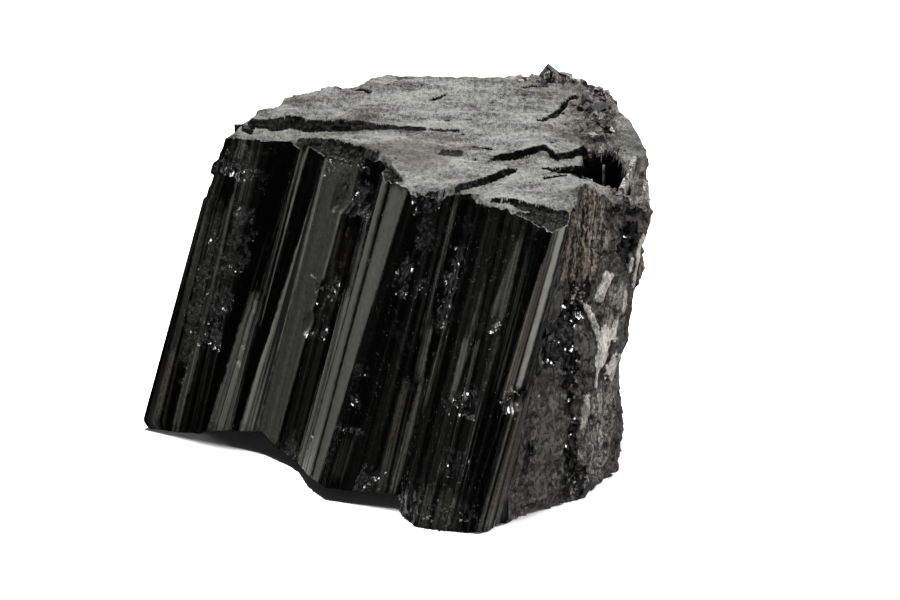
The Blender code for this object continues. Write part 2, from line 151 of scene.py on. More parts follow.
# Bands, partly a silky finish and partly painted sheen and edge highlights: low height, left, right,
# high height, left, right, strength. The first are finely lined, the second smooth.
LINED_BANDS = (
    (0, 0.9, 1.3, 44, 0.8, 1.2, 0.3), (0, 0.2, 2.8, 52, 0.2, 2.6, 0.13),
    (3, 1.4, 2.3, 16, 1.3, 2.4, 0.35), (14, 2.2, 4.6, 44, 2.2, 5, 0.16),
    (0, 3.9, 5, 20, 4.2, 5.4, 0.45), (20, 4.4, 5.3, 50, 5.2, 5.8, 0.3),
    (40, 12.4, 13.1, 57, 12.9, 13.7, 0.25), (52, 1, 3, 57, 1.6, 2.6, 0.15),
    (52.5, 3.4, 6, 57.3, 3.6, 5.8, 0.22), (24, 3.8, 6.4, 30, 3.8, 6.2, 0.3),
    (1, 11.5, 14.8, 28, 11.6, 15, 0.52), (28, 13.4, 15, 46, 13.8, 15.1, 0.45),
    (46, 14.1, 15, 57, 14.3, 15.3, 0.4), (24, 15.1, 15.6, 57, 15.3, 16, 0.6),
    (3, 17.2, 20, 58, 19.3, 20.5, 0.75), (1, 28.6, 31, 36, 29.4, 32, 0.5),
    (36, 29.5, 32.4, 58, 29, 30.4, 0.22), (2, 45.3, 47.6, 23, 45.7, 47.6, 0.2),
    (2, 47.6, 48.8, 24, 48.4, 50, 0.38), (24, 47.3, 48.8, 34, 47.6, 48.4, 0.42),
    (33, 47, 47.7, 57, 47.4, 48, 0.35), (34, 48.8, 51.6, 36, 50, 52, 0.4),
    (36, 48.9, 51.4, 48, 49.3, 51.6, 0.2), (20, 49.5, 51.2, 34, 50.8, 52.3, 0.25),
    (24, 54.9, 56, 34, 55.3, 56.6, 0.26), (34, 55.9, 56.6, 44, 56, 56.6, 0.24),
    (38, 58.2, 61.2, 53, 60, 60.6, 0.22), (8, 60.3, 61.4, 36, 60.5, 61.6, 0.24),
    (0, 54, 62, 7, 54, 62.5, 0.16), (8, 56.2, 57.4, 34, 57, 57.8, 0.2),
    (26, 63.4, 65.9, 57, 64.3, 65.9, 0.5), (0, 66, 70.7, 24, 66.2, 71, 0.3),
    (30, 5.8, 7.6, 56, 6.4, 8, 0.15), (6, 7.2, 8, 30, 5.8, 7.4, 0.12),
    (26, 60.9, 62.9, 50, 61.4, 63, 0.14), (26, 65.9, 67.1, 57, 65.8, 67, 0.95),
    (4, 39, 41, 12, 39.4, 41.4, 0.1), (0, 51, 63, 57, 50, 63.5, 0.026),
    (0, 41, 45.4, 57, 42, 46.8, 0.02), (0, 5.4, 8.4, 57, 6, 9.6, 0.035),
    (0, 24.6, 28.4, 46, 25.6, 28.6, 0.035), (0, 36.8, 40, 57, 38.2, 41.4, 0.012))
SMOOTH_BANDS = (
    (3, 20.1, 23.7, 58, 20.6, 25.7, 0.36), (36, 24.8, 25.2, 49.5, 25, 25.5, 0.85),
    (3, 23.3, 23.7, 34, 24.4, 24.8, 0.55), (1, 31.3, 34.1, 58, 33, 34.3, 0.7),
    (1, 34.8, 36.6, 57.5, 35.1, 38, 0.62))
# Hackly patches on the prism faces: place, half width, half height, strength.
HACKLY_PATCHES = (
    (3.4, 29, 1.5, 15, 0.9), (7.2, 43, 1.8, 2.8, 1), (7, 35, 2.6, 6, 0.8), (7, 25, 2.6, 5, 0.8),
    (6.6, 19.5, 2.4, 2.4, 1), (4.4, 51.6, 3.8, 0.8, 1), (3.6, 55, 3.4, 2.2, 0.6), (9, 50, 1.5, 6, 0.3),
    (1.6, 40, 1.2, 14, 0.4), (26.6, 33.8, 1.7, 2.6, 1), (27.4, 41.5, 1, 6, 0.6),
    (27.8, 26.3, 0.6, 1.5, 0.9), (24, 56.6, 4.8, 1.7, 0.9), (26.8, 51.5, 2.2, 2.2, 1),
    (22.8, 36.2, 1.7, 0.7, 0.7), (31, 47, 1.7, 8.5, 0.6), (41.8, 44, 1.7, 2.4, 0.9),
    (42.3, 39.6, 0.9, 1.3, 0.9), (45.2, 41, 1.3, 2, 0.8), (39, 24.5, 1.8, 1.1, 0.6),
    (39.6, 19, 0.9, 1.3, 0.8), (40, 13.4, 3.4, 0.6, 0.9), (43.2, 50.5, 1.5, 5.5, 0.6),
    (42.6, 56, 2.6, 1.9, 0.8), (44.5, 4, 2, 2.8, 1), (50.2, 41.5, 1.7, 5.5, 0.9),
    (50.2, 34.8, 1.7, 1.3, 0.8), (50, 29.5, 0.9, 1.5, 0.7), (50, 48.3, 1.6, 0.8, 0.7),
    (50.2, 53, 1.3, 1.1, 0.6), (59.6, 37, 1, 1.5, 1), (58.8, 21, 1.9, 0.6, 0.9),
    (59, 24.5, 2.1, 1.6, 0.7), (56.2, 23, 1.3, 2.1, 0.7), (58.5, 13, 2.1, 3.2, 0.6),
    (58, 3, 8, 3.4, 0.5), (12, 0.4, 11, 1, 0.5), (52, 42, 8, 14, 0.12), (46, 24, 5, 12, 0.14),
    (60, 44, 4, 12, 0.14), (54, 10, 8, 8, 0.18), (65.8, 25.6, 2.3, 1.5, 1), (26.5, 3, 2, 3, 0.8),
    (173, 30, 2.5, 9, 0.8), (183, 18, 2, 12, 0.8), (166, 48, 3, 6, 0.8))
# Small fresh facets: place, radius.
GLINTS = (
    (6.6, 44, 0.65), (7.6, 31.8, 0.4), (7.5, 24.6, 0.4), (13.3, 14.8, 0.6), (13.2, 18.3, 0.5),
    (28, 26.8, 0.45), (28, 25.2, 0.4), (38.5, 41.2, 0.2), (42.2, 39.5, 0.5), (39.6, 18.8, 0.4),
    (45.1, 5, 0.55), (44.6, 3.6, 0.35), (50.2, 35, 0.4), (59.6, 36.6, 0.55), (59.7, 20.8, 0.55),
    (66, 25.8, 0.45), (31.5, 8.3, 0.5), (74.8, 37.5, 0.6), (78.2, 35.5, 0.55), (77.2, 34.6, 0.45),
    (78, 33.3, 0.5), (73.6, 28.4, 0.5), (74.4, 27.6, 0.4), (73, 22.2, 0.4), (78.8, 25, 0.4),
    (79.1, 19.2, 0.8), (74.2, 1, 0.45), (67, 25.5, 0.45), (34.2, 47.3, 0.2), (27.6, 34.6, 0.4),
    (26.2, 51.2, 0.4), (44.9, 40.9, 0.35))
# Up to this far round they mirror the key light, and beyond it, less purely, the right-hand light.
LAST_KEY_GLINT = 70.0
RIGHT_GLINT = 0.6
# The broken right side, patch by patch: place, half width, half height, strength. The brown stain
# also lies on the prism faces.
BROWN = (
    (64.6, 38, 1.6, 16, 0.6), (68.5, 14, 2.4, 12, 0.6), (2, 10, 1.2, 8, 0.4), (27.3, 42, 1, 6.5, 0.9),
    (46, 18, 1.2, 8, 0.5), (52, 34, 2, 6, 0.4), (77, 50, 6, 7.5, 1), (76, 55.5, 3, 2.5, 1),
    (77, 44, 4, 2.2, 1), (72, 50, 2, 6, 0.7), (84, 35, 3.5, 5, 0.45), (86, 14, 3, 7, 0.35),
    (80.5, 12, 1.5, 8, 0.3), (96, 40, 8, 14, 0.8), (112, 22, 9, 12, 0.7), (140, 44, 12, 9, 0.7))
GREIGE = (
    (84.5, 15, 3.8, 8.5, 0.95), (85.5, 35.5, 2.8, 5, 0.7), (85, 5, 2.8, 3.4, 0.9),
    (75.5, 14, 2.4, 9, 0.45), (78, 52, 4, 3, 0.4), (80.5, 50, 2, 3, 0.5), (100, 20, 6, 12, 0.6),
    (124, 36, 8, 14, 0.6))
GLASSY = (
    (75, 35, 4, 3.5, 1), (77.5, 39.5, 2.2, 2.8, 1), (74, 30, 3, 3.4, 0.9), (78, 26, 1.5, 4.5, 1),
    (79, 19, 1.2, 2.4, 1), (72.2, 12, 0.8, 4, 0.9), (81.8, 3, 1, 3, 0.8), (79.6, 10, 1, 9, 0.9),
    (86, 48, 2.2, 6, 0.7), (85.5, 54, 3, 2.5, 0.8), (106, 44, 5, 7, 0.9), (132, 16, 7, 8, 0.8))
SMOOTH_GREY = (
    (72.6, 39, 1.9, 3.2, 1), (80, 29.5, 1.1, 1.8, 1), (80.3, 26, 0.6, 1.1, 1), (73, 24.5, 2.8, 3.2, 1),
    (75.6, 12, 2.3, 10.5, 0.9), (70.2, 9, 1.7, 8.5, 0.8))
# Flakes that stand proud of the broken side: place of the middle, half width, half height, lean.
FLAKES = (
    (82, 40.2, 1.1, 2.9, -0.35), (83.2, 28.6, 1.2, 3.6, -0.12), (81.3, 33, 0.6, 3.2, 0.45),
    (86, 23.8, 1.5, 2.7, -0.2), (88.6, 43, 0.5, 5, -0.1), (87, 42.6, 0.45, 1.6, -0.2),
    (82.4, 23.5, 0.35, 2.5, 0), (84.9, 31, 0.5, 2, -0.1), (86.6, 36, 0.6, 2.4, 0.1),
    (81.2, 17, 0.5, 3.4, 0), (94, 30, 0.8, 3, 0.1), (103, 12, 0.9, 2.6, -0.1), (117, 46, 1, 2.8, 0.1),
    (148, 24, 1.2, 3.2, 0))
FLAKE_HEIGHT = 0.4
# How far the rough skin of the broken side stands proud of its outline.
PROUD = 0.55
# Distance between the wavy ridges of the stained skin.
RIDGE_PITCH = 0.95
# Chips along the left edge: height where each stretch starts, how far the edge is set back.
LEFT_EDGE_CHIPS = ((0, 0), (45.6, 0.2), (48.2, 0.45), (50.4, -0.2), (52.6, 0.5), (54.6, 0.7))
# The conchoidal rings: place round the outline, height, radius, spacing of the rings.
SWIRL = (79.5, 49.5, 3, 0.95)

# Where the small key light and the right-hand light stand, in metres, and what lights turn to.
KEY_PLACE = (-0.5, -0.32, 0.7)
RIGHT_PLACE = (0.9, -0.4, 0.55)
LIGHT_TARGET = Vector((0.0, 0.0, 0.03))
# What the camera looks at, in millimetres, and the elevation for which the glints are cut.
CAMERA_TARGET = Vector((9.1, -2.3, 30.0))
EYE_ELEVATION = math.radians(30.0)
# The floor's half width and height, in metres; it lies just below the foot.
FLOOR_REACH = 3.0
FLOOR_HEIGHT = -0.00005
# What the gloss mirrors of the room: axis of the direction, where its brightness starts and is
# full, brightness.
WORLD_SIDES = ((1, 0.25, 0.9, 1.6), (2, 0.4, 0.95, 0.8), (0, 0.4, 0.95, 0.2))
DARK_ROOM = 0.005

# Ledges on the top: how far the step runs, then x, y, drop of each point of its line; the
# surface falls to the right-hand side of the line. The risers are painted dark as shade.
LEDGES = (
    (0.8, (
        (-23.5, 5.2, 0.8), (-18, 5.2, 1.4), (-13, 4.7, 1.6), (-8.5, 4.3, 1.6), (-5.3, 4, 1.3),
        (-2.8, 2.9, 0.6), (0, 2.7, 0.4), (5, 2.4, 0.4), (10, 2.2, 0.35), (13, 1, 0.1))),
    (0.6, (
        (14.6, -8, 0.2), (16.6, -5.4, 0.8), (20, -5.2, 1.1), (22, -4.4, 0.9), (24, -2.8, 0.7),
        (25.8, -4.9, 0.7), (28, -3, 0.8), (30.2, -0.6, 0.8))),
    (0.75, (
        (9.6, -17.4, 1), (14, -13, 0.9), (18.3, -9.2, 0.8), (19.8, -8.6, 0.2), (24, -8.7, 0.3),
        (25.5, -8, 0.9), (29.5, -5.8, 1))),
    (0.4, (
        (14.8, -18.9, 0.2), (16.4, -18.8, 0.8), (19, -19.1, 0.9), (22.5, -19.8, 0.7),
        (25.5, -20.6, 0.5), (27.8, -21.4, 0.2))),
)
LEDGE_REACH = 7.0
# Slopes from the top down to a broken stretch of the rim, given like the ledges; painted darker as
# shade.
EDGE_SLOPES = (
    (1, (
        (2.2, -15.2, 0), (4.4, -16.2, 0.7), (7.6, -16.5, 0.8), (10.6, -16.8, 0.4), (12.6, -17.6, 0))),
    (2, (
        (-14.4, 2.8, 0), (-13.4, 2.2, 2), (-11, 0.9, 2.4), (-8, -1.5, 2.4), (-5, -3.3, 2.2),
        (-2.2, -5.6, 2), (-1, -8, 1))),
    (1.8, (
        (13, -17.4, 0), (13.8, -18.2, 0.8), (15.6, -19.6, 0.8), (18.2, -20, 0.7), (22, -20.6, 0.8),
        (27.6, -22, 0.6))),
)
SLOPE_REACH = 9.0
# The smooth grey-green scoop at the near corner of the top, painted darker as shade.
SCOOP = (
    (18.6, -19.2), (20.6, -19.3), (23, -19.9), (25.6, -20.6), (28.4, -20.4), (29.4, -24), (25, -24.4),
    (21.6, -21.4), (19.6, -20.4))
# The pocket and the low wedge beside it, in plan, how deep they are, and how steep; painted shade
# darkens both.
POCKET = (
    (29.6, -4.6), (30, -1.4), (32, -0.6), (34.2, -0.9), (36, -2.2), (37.6, -6), (37.4, -10.8),
    (35.4, -13.2), (32.2, -13), (30.4, -10.8), (29.4, -7.6))
POCKET_DEPTH = 8.0
POCKET_WALL = 1.0
WEDGE = ((24.4, -8.4), (29.8, -5.8), (30.4, -12), (28, -11.4), (26.2, -11.2))
WEDGE_DEPTH = 1.6
WEDGE_WALL = 0.5
# Cracks in the top: width, depth, x, y of each point. Their walls are painted black as shade.
CRACKS = (
    (0.35, 0.6, ((23, 4.5), (24, 4.9), (25.4, 6.2))),
    (0.6, 0.9, ((25.4, 6.2), (26.4, 8.2), (27.4, 10.8))),
    (0.35, 0.6, ((27.4, 10.8), (28.4, 12.4), (29.4, 13))), (0.9, 0.8, ((-25, 4.6), (-22.8, 3.8))),
    (0.22, 0.4, ((8.4, 4.3), (10.6, 4.4), (12.2, 4.9))),
    (0.45, 0.6, ((24, -12.4), (25.4, -12.6), (27, -12))),
    (0.25, 0.5, ((20.6, 14.8), (22.4, 15.4), (24.8, 15.4))),
    (0.35, 0.6, ((6.2, 10.9), (7.4, 11.4), (8.3, 12.3))),
    (0.4, 0.6, ((-6.4, 13.6), (-5.2, 13.4), (-3.8, 12.5))),
    (0.3, 0.4, ((12.4, -2.9), (14, -3.2), (15.6, -3.9))),
    (0.15, 0.25, ((28.8, 1.6), (30.2, 3), (31.2, 4.6))), (0.15, 0.25, ((25.2, -1.6), (26.4, 0.8))),
    (0.45, 0.8, ((-2.9, -6.8), (-2.2, -6.2))), (0.9, 1.2, ((31.2, 7.2), (32.2, 6.4))),
    (1, 1.2, ((33, 4.4), (34.4, 3.6))), (0.7, 1, ((29.8, 9.6), (30.8, 9)))
)
# Patches of the top: x, y, half widths in x and y, reach, how frayed the edge is, strength.
RUBBLE_PATCHES = (
    (33, 8, 4.2, 8.5, 1.7, 0.8, 1), (25.5, 17.2, 6, 1.9, 1.4, 1.2, 0.8),
    (36, -14.8, 4.6, 1.7, 1.5, 0.8, 1), (39.9, -8, 1.3, 4.8, 1.5, 0.8, 1))
GREEN_RIM = (39, 2, 2, 4.5, 1.5, 0.4, 1)
# A shallow dent, which is also painted darker.
BRUISE = (9, -5.2, 2.6, 1.3, 1.4, 1.5, 1)
DULL_PATCH = (3, -6, 6.5, 4.5, 1.5, 1.6, 1)
# Nicks in the rim: x, y, radius, drop.
NICKS = (
    (-12.2, 12.6, 0.6, 1.4), (-19.2, 8.2, 0.5, 0.5), (-7.2, 15, 2.6, 0.9), (7.8, -17.8, 1, 0.9),
    (5, -16.6, 0.9, 0.7), (28.6, -18.8, 1, 0.6), (31, -15.9, 0.8, 0.8), (34.4, -15.6, 0.9, 0.8),
    (37.4, -14.8, 0.8, 0.9), (21, 18.3, 0.8, 0.4), (14, 18, 0.6, 0.4))
# Known heights of the top and of the foot between their edges: x, y, height.
TOP_LEVELS = (
    (-16, 6, 59.8), (-4, 8, 59.8), (10, 8, 59.3), (22, 6, 59.2), (33, 4, 58.3), (0, -6, 59.3),
    (10, -10, 58.8), (19, -17.5, 57.7), (24, -18.5, 57.6), (26.5, -12, 58.4), (22, -4, 58.9))
FOOT_LEVELS = (
    (-26, 8, 1.2), (-20, 10, -1), (-10, 14, -1.2), (-4, -4, -0.6), (8, -14, -1.2), (14, -16, -1.5),
    (24, -6, -1.2), (26, 8, -1.2), (8, 18, -1.2), (8, 2, 0.7), (-14, 2, 0.9), (2, 10, 0.6))
TOP_SPACING = 0.36
FOOT_SPACING = 1.0

# Angular fragments heaped on the top: x, y, spread in x, in y, how many, size.
TOP_RUBBLE = (
    (27.2, 17.2, 3.2, 1, 46, 0.95), (32.6, 8, 2.4, 5.5, 44, 1.15), (33.5, -1.4, 3, 1.2, 26, 0.7),
    (36.4, -14.2, 3, 1, 26, 0.7), (33.4, 14.6, 1.4, 1.4, 20, 0.7), (22.4, 17, 2.6, 0.9, 14, 0.45),
    (33.4, -12.4, 1.8, 0.8, 12, 0.45))
# Fragments stuck to the sides: place, spread round the outline, spread in height, how many, size.
SIDE_RUBBLE = (
    (77.5, 39.5, 2, 2.4, 34, 0.6), (81.7, 3, 0.9, 2.6, 14, 0.5), (26.6, 34, 1.3, 1.8, 12, 0.45),
    (65.8, 25.6, 1.7, 0.9, 14, 0.4), (58, 3, 5, 2.6, 30, 0.45), (24.5, 57, 3.4, 0.9, 14, 0.45),
    (79, 24, 0.9, 5, 16, 0.45), (86.5, 20, 2.4, 16, 26, 0.5), (100, 26, 8, 18, 30, 0.8))
# Upright slabs: x, y, z of the two ends of the top edge, half thickness below, kind.
SLABS = (
    (38.4, -3.4, 57, 37.7, -6.4, 56.7, 0.9, "pale"), (37.6, -6, 56.4, 36.8, -8.8, 56, 0.9, "pale"),
    (36.9, -8.4, 55.6, 36, -10.6, 55.2, 0.9, "pale"),
    (36.2, -10.2, 55, 35.4, -12.4, 54.4, 0.9, "greige"),
    (39.9, -7.6, 54.9, 39.5, -9.6, 54.3, 0.7, "pale"), (39.5, -9.4, 54, 38.9, -11.8, 53.3, 0.7, "pale"),
    (39.3, -3, 57.1, 39.3, -6.6, 56, 0.5, "brown"), (38.3, -8.4, 54.9, 37.7, -13.2, 54.1, 0.5, "brown"),
    (33.6, -1.6, 54.4, 33.3, -2.4, 53.8, 0.5, "pale"),
    (-24.9, 4.2, 58.2, -24, 4.4, 58.3, 0.5, "glassy"), (-23.8, 4.2, 58, -22.4, 4, 57.8, 0.5, "glassy"),
    (23.9, 17.8, 60, 24.9, 18.4, 61.9, 0.7, "glassy"),
    (24.7, 18.4, 61.9, 26.2, 17.6, 60.8, 0.7, "glassy"),
    (25.6, 16.8, 60.6, 27.4, 16.6, 60, 0.8, "brown"),
    (26.8, 17.6, 60.7, 28.8, 17.2, 60.3, 0.9, "glassy"),
    (28.8, 16.8, 60.2, 31.2, 16.2, 59, 0.8, "brown"), (24.3, 17.2, 60.7, 25, 17, 61.1, 0.35, "pale"),
    (26, 17.2, 61, 26.9, 17, 60.7, 0.35, "pale"), (27.8, 16.9, 60.5, 28.5, 16.7, 60.2, 0.35, "pale"),
    (29.4, 16.3, 60.1, 30.2, 16.1, 59.6, 0.35, "pale"),
    (33.8, 12.6, 59.3, 34.4, 11.4, 59.2, 0.4, "pale"))
SLAB_DEPTH = 7.0
# Kinds of fragment that more than one mask makes.
MIXED_KINDS = {"pale": {"greige": 1.0, "flake": 0.45}}

# The stone's materials: their numbers on the mesh, and its edges' sharpness.
# The last of these paints shade, near black and almost without gloss, into cracks, risers, the pocket
# and slopes.
PRISM, FRACTURE, WEATHERED, CREVICE_SHADE = range(4)
SHARP_ANGLE = math.radians(22.0)
TOURMALINE_IOR = 1.64


class StoneSettings(bpy.types.PropertyGroup):
    """Sizes and colours of the stone."""

    rib_scale: bpy.props.FloatProperty(
        name="Rib depth", description="How deep the ribs along the prism faces are",
        default=100.0, min=0.0, max=200.0, subtype="PERCENTAGE")
    striation_pitch: bpy.props.FloatProperty(
        name="Striation pitch", description="Distance between the finest lines along the axis",
        default=0.36 * MM, min=0.05 * MM, precision=5, subtype="DISTANCE", unit="LENGTH")
    grain_size: bpy.props.FloatProperty(
        name="Fracture grain", description="Size of the grain on the fracture across the top",
        default=0.5 * MM, min=0.05 * MM, precision=5, subtype="DISTANCE", unit="LENGTH")
    # This black is also what paints shade into the pits, seams, risers, cracks and crevices.
    prism_color: bpy.props.FloatVectorProperty(
        name="Prism faces", description="Colour of the glossy prism faces", subtype="COLOR",
        size=3, min=0.0, max=1.0, default=(0.0004, 0.0004, 0.0004))
    # The bands' colour is partly a silky finish and partly painted sheen.
    silk_and_sheen_color: bpy.props.FloatVectorProperty(
        name="Silky bands", description="Colour of the finely lined, silky bands", subtype="COLOR",
        size=3, min=0.0, max=1.0, default=(0.130, 0.132, 0.116))
    dust_color: bpy.props.FloatVectorProperty(
        name="Hackly places", description="Colour of the dust in hackly places", subtype="COLOR",
        size=3, min=0.0, max=1.0, default=(0.050, 0.050, 0.051))
    fracture_color: bpy.props.FloatVectorProperty(
        name="Fracture", description="Colour of the matt fracture across the top", subtype="COLOR",
        size=3, min=0.0, max=1.0, default=(0.071, 0.071, 0.066))
    stain_color: bpy.props.FloatVectorProperty(
        name="Stain", description="Colour of the brown stain on the weathered side",
        subtype="COLOR", size=3, min=0.0, max=1.0, default=(0.058, 0.046, 0.034))
    flake_color: bpy.props.FloatVectorProperty(
        name="Pale flakes", description="Colour of the pale flakes on the weathered side",
        subtype="COLOR", size=3, min=0.0, max=1.0, default=(0.36, 0.34, 0.31))


class StudioSettings(bpy.types.PropertyGroup):
    """Floor, lights and camera."""

    floor_color: bpy.props.FloatVectorProperty(
        name="Floor", description="Colour of the plain floor", subtype="COLOR", size=3,
        min=0.0, max=1.0, default=(0.9, 0.9, 0.9))
    wash_power: bpy.props.FloatProperty(
        name="Floor wash", description="Power of the overhead light on the floor", default=32.0,
        min=0.0, subtype="POWER", unit="POWER")
    ceiling_power: bpy.props.FloatProperty(
        name="Ceiling light", description="Power of the soft light above the stone", default=20.0,
        min=0.0, subtype="POWER", unit="POWER")
    front_power: bpy.props.FloatProperty(
        name="Front light", description="Power of the soft light from the front left", default=14.0,
        min=0.0, subtype="POWER", unit="POWER")
    right_power: bpy.props.FloatProperty(
        name="Right light", description="Power of the soft light from the right", default=22.0,
        min=0.0, subtype="POWER", unit="POWER")
    back_power: bpy.props.FloatProperty(
        name="Back light", description="Power of the soft light behind the stone", default=12.0,
        min=0.0, subtype="POWER", unit="POWER")
    key_power: bpy.props.FloatProperty(
        name="Key light", description="Power of the small key light, which gives the glints",
        default=0.55, min=0.0, subtype="POWER", unit="POWER")
    camera_elevation: bpy.props.FloatProperty(
        name="Camera elevation", description="Angle of the camera above the horizon",
        default=EYE_ELEVATION, subtype="ANGLE", unit="ROTATION")
    camera_distance: bpy.props.FloatProperty(
        name="Camera distance", description="Distance from the camera to its target",
        default=1.0, min=0.1, subtype="DISTANCE", unit="LENGTH")
    camera_lens: bpy.props.FloatProperty(
        name="Lens", description="Focal length in millimetres on a 36 mm sensor", default=250.0,
        min=20.0, subtype="DISTANCE_CAMERA")


# ---------------------------------------------------------------- helpers


def toward_camera(elevation):
    """The direction from the stone to the camera."""
    return Vector((0.0, -math.cos(elevation), math.sin(elevation)))


def smooth_step(value):
    """Eases each value from 0 to 1, level at both ends."""
    value = np.clip(value, 0.0, 1.0)
    return value * value * (3.0 - 2.0 * value)


def lumps(places, size, octaves=3, shift=0.0):
    """Fractal noise, about -1 to 1, at an (n, 3) array of places; size may differ by axis."""
    scaled = np.asarray(places, float).reshape(-1, 3) / np.asarray(size, float) + shift
    return np.array([noise.fractal(Vector(place), 1.0, 2.0, octaves) for place in scaled])


def facets(places, size, shift=0.0):
    """Hackly fracture, about -0.5 to 0.5: every cell is a small plane with a tilt of its own."""
    scaled = np.asarray(places, float).reshape(-1, 3) / np.asarray(size, float) + shift
    heights = np.empty(len(scaled))
    for index, place in enumerate(scaled):
        centre = noise.voronoi(Vector(place))[1][0]
        tilt = noise.cell_vector(centre * 7.3) - Vector((0.5, 0.5, 0.5))
        heights[index] = (Vector(place) - centre).dot(tilt) + 0.4 * tilt.x
    return heights


def patch_mask(across, height, patches, ragged):
    """How strongly any of the patches covers each place; ragged is noise that frays their edges."""
    mask = np.zeros_like(across)
    for middle, level, half_width, half_height, strength in patches:
        away = np.hypot((across - middle) / half_width, (height - level) / half_height)
        mask = np.maximum(mask, strength * smooth_step((1.15 - away + 0.7 * ragged) * 2.2))
    return mask


def band_mask(across, height, bands, ragged, fade):
    """Strength of the slanting bands at each place; fade is how slowly they end."""
    mask = np.zeros_like(across)
    for low, low_left, low_right, high, high_left, high_right, strength in bands:
        climb = (height - low) / (high - low)
        left = low_left + (high_left - low_left) * climb
        right = low_right + (high_right - low_right) * climb
        inside = np.minimum(across - left, right - across) / 0.25 + 0.5 + 1.2 * ragged
        ends = np.minimum(height - low, high - height) / fade + 0.5 + 1.5 * ragged
        mask = np.maximum(mask, strength * np.clip(inside, 0.0, 1.0) * np.clip(ends, 0.0, 1.0))
    return mask


# ---------------------------------------------------------------- the side skin


def outline_columns(settings):
    """Columns round the outline: the six numbers of a corner, the inset of the ribs there, the
    distance round the outline, whether the face is ribbed, and how uneven it is."""
    chance = random.Random(4)
    corners = RIBBED_FRONT + BROKEN_RIGHT + BROKEN_BACK + RIBBED_LEFT_BACK
    spacings = ([FRONT_SPACING] * len(RIBBED_FRONT) + [RIGHT_SPACING] * len(BROKEN_RIGHT)
                + [BACK_SPACING] * len(BROKEN_BACK) + [LEFT_BACK_SPACING] * len(RIBBED_LEFT_BACK))
    rows = []
    across = 0.0
    for index, corner in enumerate(corners):
        after = corners[(index + 1) % len(corners)]
        start = np.array(corner[:6])
        end = np.array(after[:6])
        width = np.hypot(*(start[0:2] + start[2:4] - end[0:2] - end[2:4])) / 2.0
        knots = [(0.0, 0.0)]
        ribbed = len(corner) > 6
        if ribbed:
            pitch, depth, _ = corner[6:9]
            place = 0.0
            while place < width - 0.6 * pitch:
                step = min(pitch * chance.uniform(0.6, 1.5), width - place)
                high = depth * settings.rib_scale / 100.0 * chance.uniform(0.35, 1.0)
                knots.append(((place + step * chance.uniform(0.35, 0.7)) / width, -0.5 * high))
                place += step
                knots.append((min(place / width, 1.0), 0.5 * high))
            if knots[-1][0] > 0.985:
                knots.pop()
        knots.append((1.0, 0.0))
        uneven = corner[8] if ribbed else 0.0
        for (share, inset), (next_share, next_inset) in zip(knots, knots[1:]):
            steps = max(1, math.ceil((next_share - share) * width / spacings[index]))
            for step in range(steps):
                part = step / steps
                at = share + (next_share - share) * part
                rows.append(np.concatenate([
                    start + (end - start) * at,
                    [inset + (next_inset - inset) * part, across + width * at, ribbed, uneven]]))
        across += width
    return np.array(rows)


def plan_normals(places):
    """Outward normals in plan of a closed counter-clockwise outline."""
    along = np.roll(places, -1, 0) - np.roll(places, 1, 0)
    normals = np.stack([along[:, 1], -along[:, 0]], 1)
    return normals / np.linalg.norm(normals, axis=1, keepdims=True)


def knocked_out(foot_x, foot_y, height, ragged):
    """Depth of the scoops and notches; ragged frays the ledges below the notches."""
    depth = np.zeros_like(height)
    for x, y, middle, half_width, half_height, deepest in SCOOPS:
        aside = np.hypot(foot_x - x, foot_y - y) / half_width
        depth = np.maximum(depth, deepest * (1.0 - aside ** 2 - ((height - middle) / half_height) ** 2))
    for x, y, middle, half_width, half_height, deepest in NOTCHES:
        aside = np.hypot(foot_x - x, foot_y - y) / half_width
        rise = height - middle + half_height + ragged
        cut = deepest * np.minimum(1.0, 3.0 * (1.0 - aside)) * (1.0 - 0.2 * rise / half_height)
        depth = np.maximum(depth, np.where(aside < 1.0, cut * smooth_step(rise / NOTCH_LEDGE), 0.0))
    return depth


def step_depth(across, height, wobble):
    """Depth of the long narrow steps along the prism faces."""
    depth = np.zeros_like(across)
    for low_place, low, high_place, high, width, deepest in STEPS:
        climb = (height - low) / (high - low)
        before = low_place + (high_place - low_place) * climb + wobble - across
        wall = before / width
        slope = 1.0 - (before - width) / (2.5 * width)
        ends = smooth_step(np.minimum(height - low, high - height) / 1.2 + 0.6 + 3.0 * wobble)
        depth += deepest * np.clip(np.minimum(wall, slope), 0.0, 1.0) * ends
    return depth


def flake_mask(across, height, ragged):
    """Where the pale leaning flakes are; ragged frays their edges."""
    mask = np.zeros_like(across)
    for middle, level, half_width, half_height, lean in FLAKES:
        rise = height - level
        aside = np.abs(across - middle + lean * rise) / half_width
        away = np.maximum(aside, np.abs(rise + 0.6 * (across - middle)) / half_height)
        mask = np.maximum(mask, np.clip((1.0 - away + 0.2 * ragged) * 2.0 + 0.5, 0.0, 1.0))
    return mask


def nick_drop(x, y):
    """How far the rim is nicked down at each place in plan."""
    drop = np.zeros_like(x)
    chance = random.Random(12)
    nicks = list(NICKS)
    for corner in RIBBED_FRONT + BROKEN_RIGHT:
        for _ in range(3):
            nicks.append((corner[2] + chance.uniform(-1.6, 1.6), corner[3] + chance.uniform(-0.9, 0.9),
                          chance.uniform(0.35, 0.8), chance.uniform(0.15, 0.5)))
    for nick_x, nick_y, radius, deepest in nicks:
        drop = np.maximum(drop, deepest * np.clip(
            1.6 * (1.0 - np.maximum(np.abs(x - nick_x), np.abs(y - nick_y)) / radius), 0.0, 1.0))
    return drop


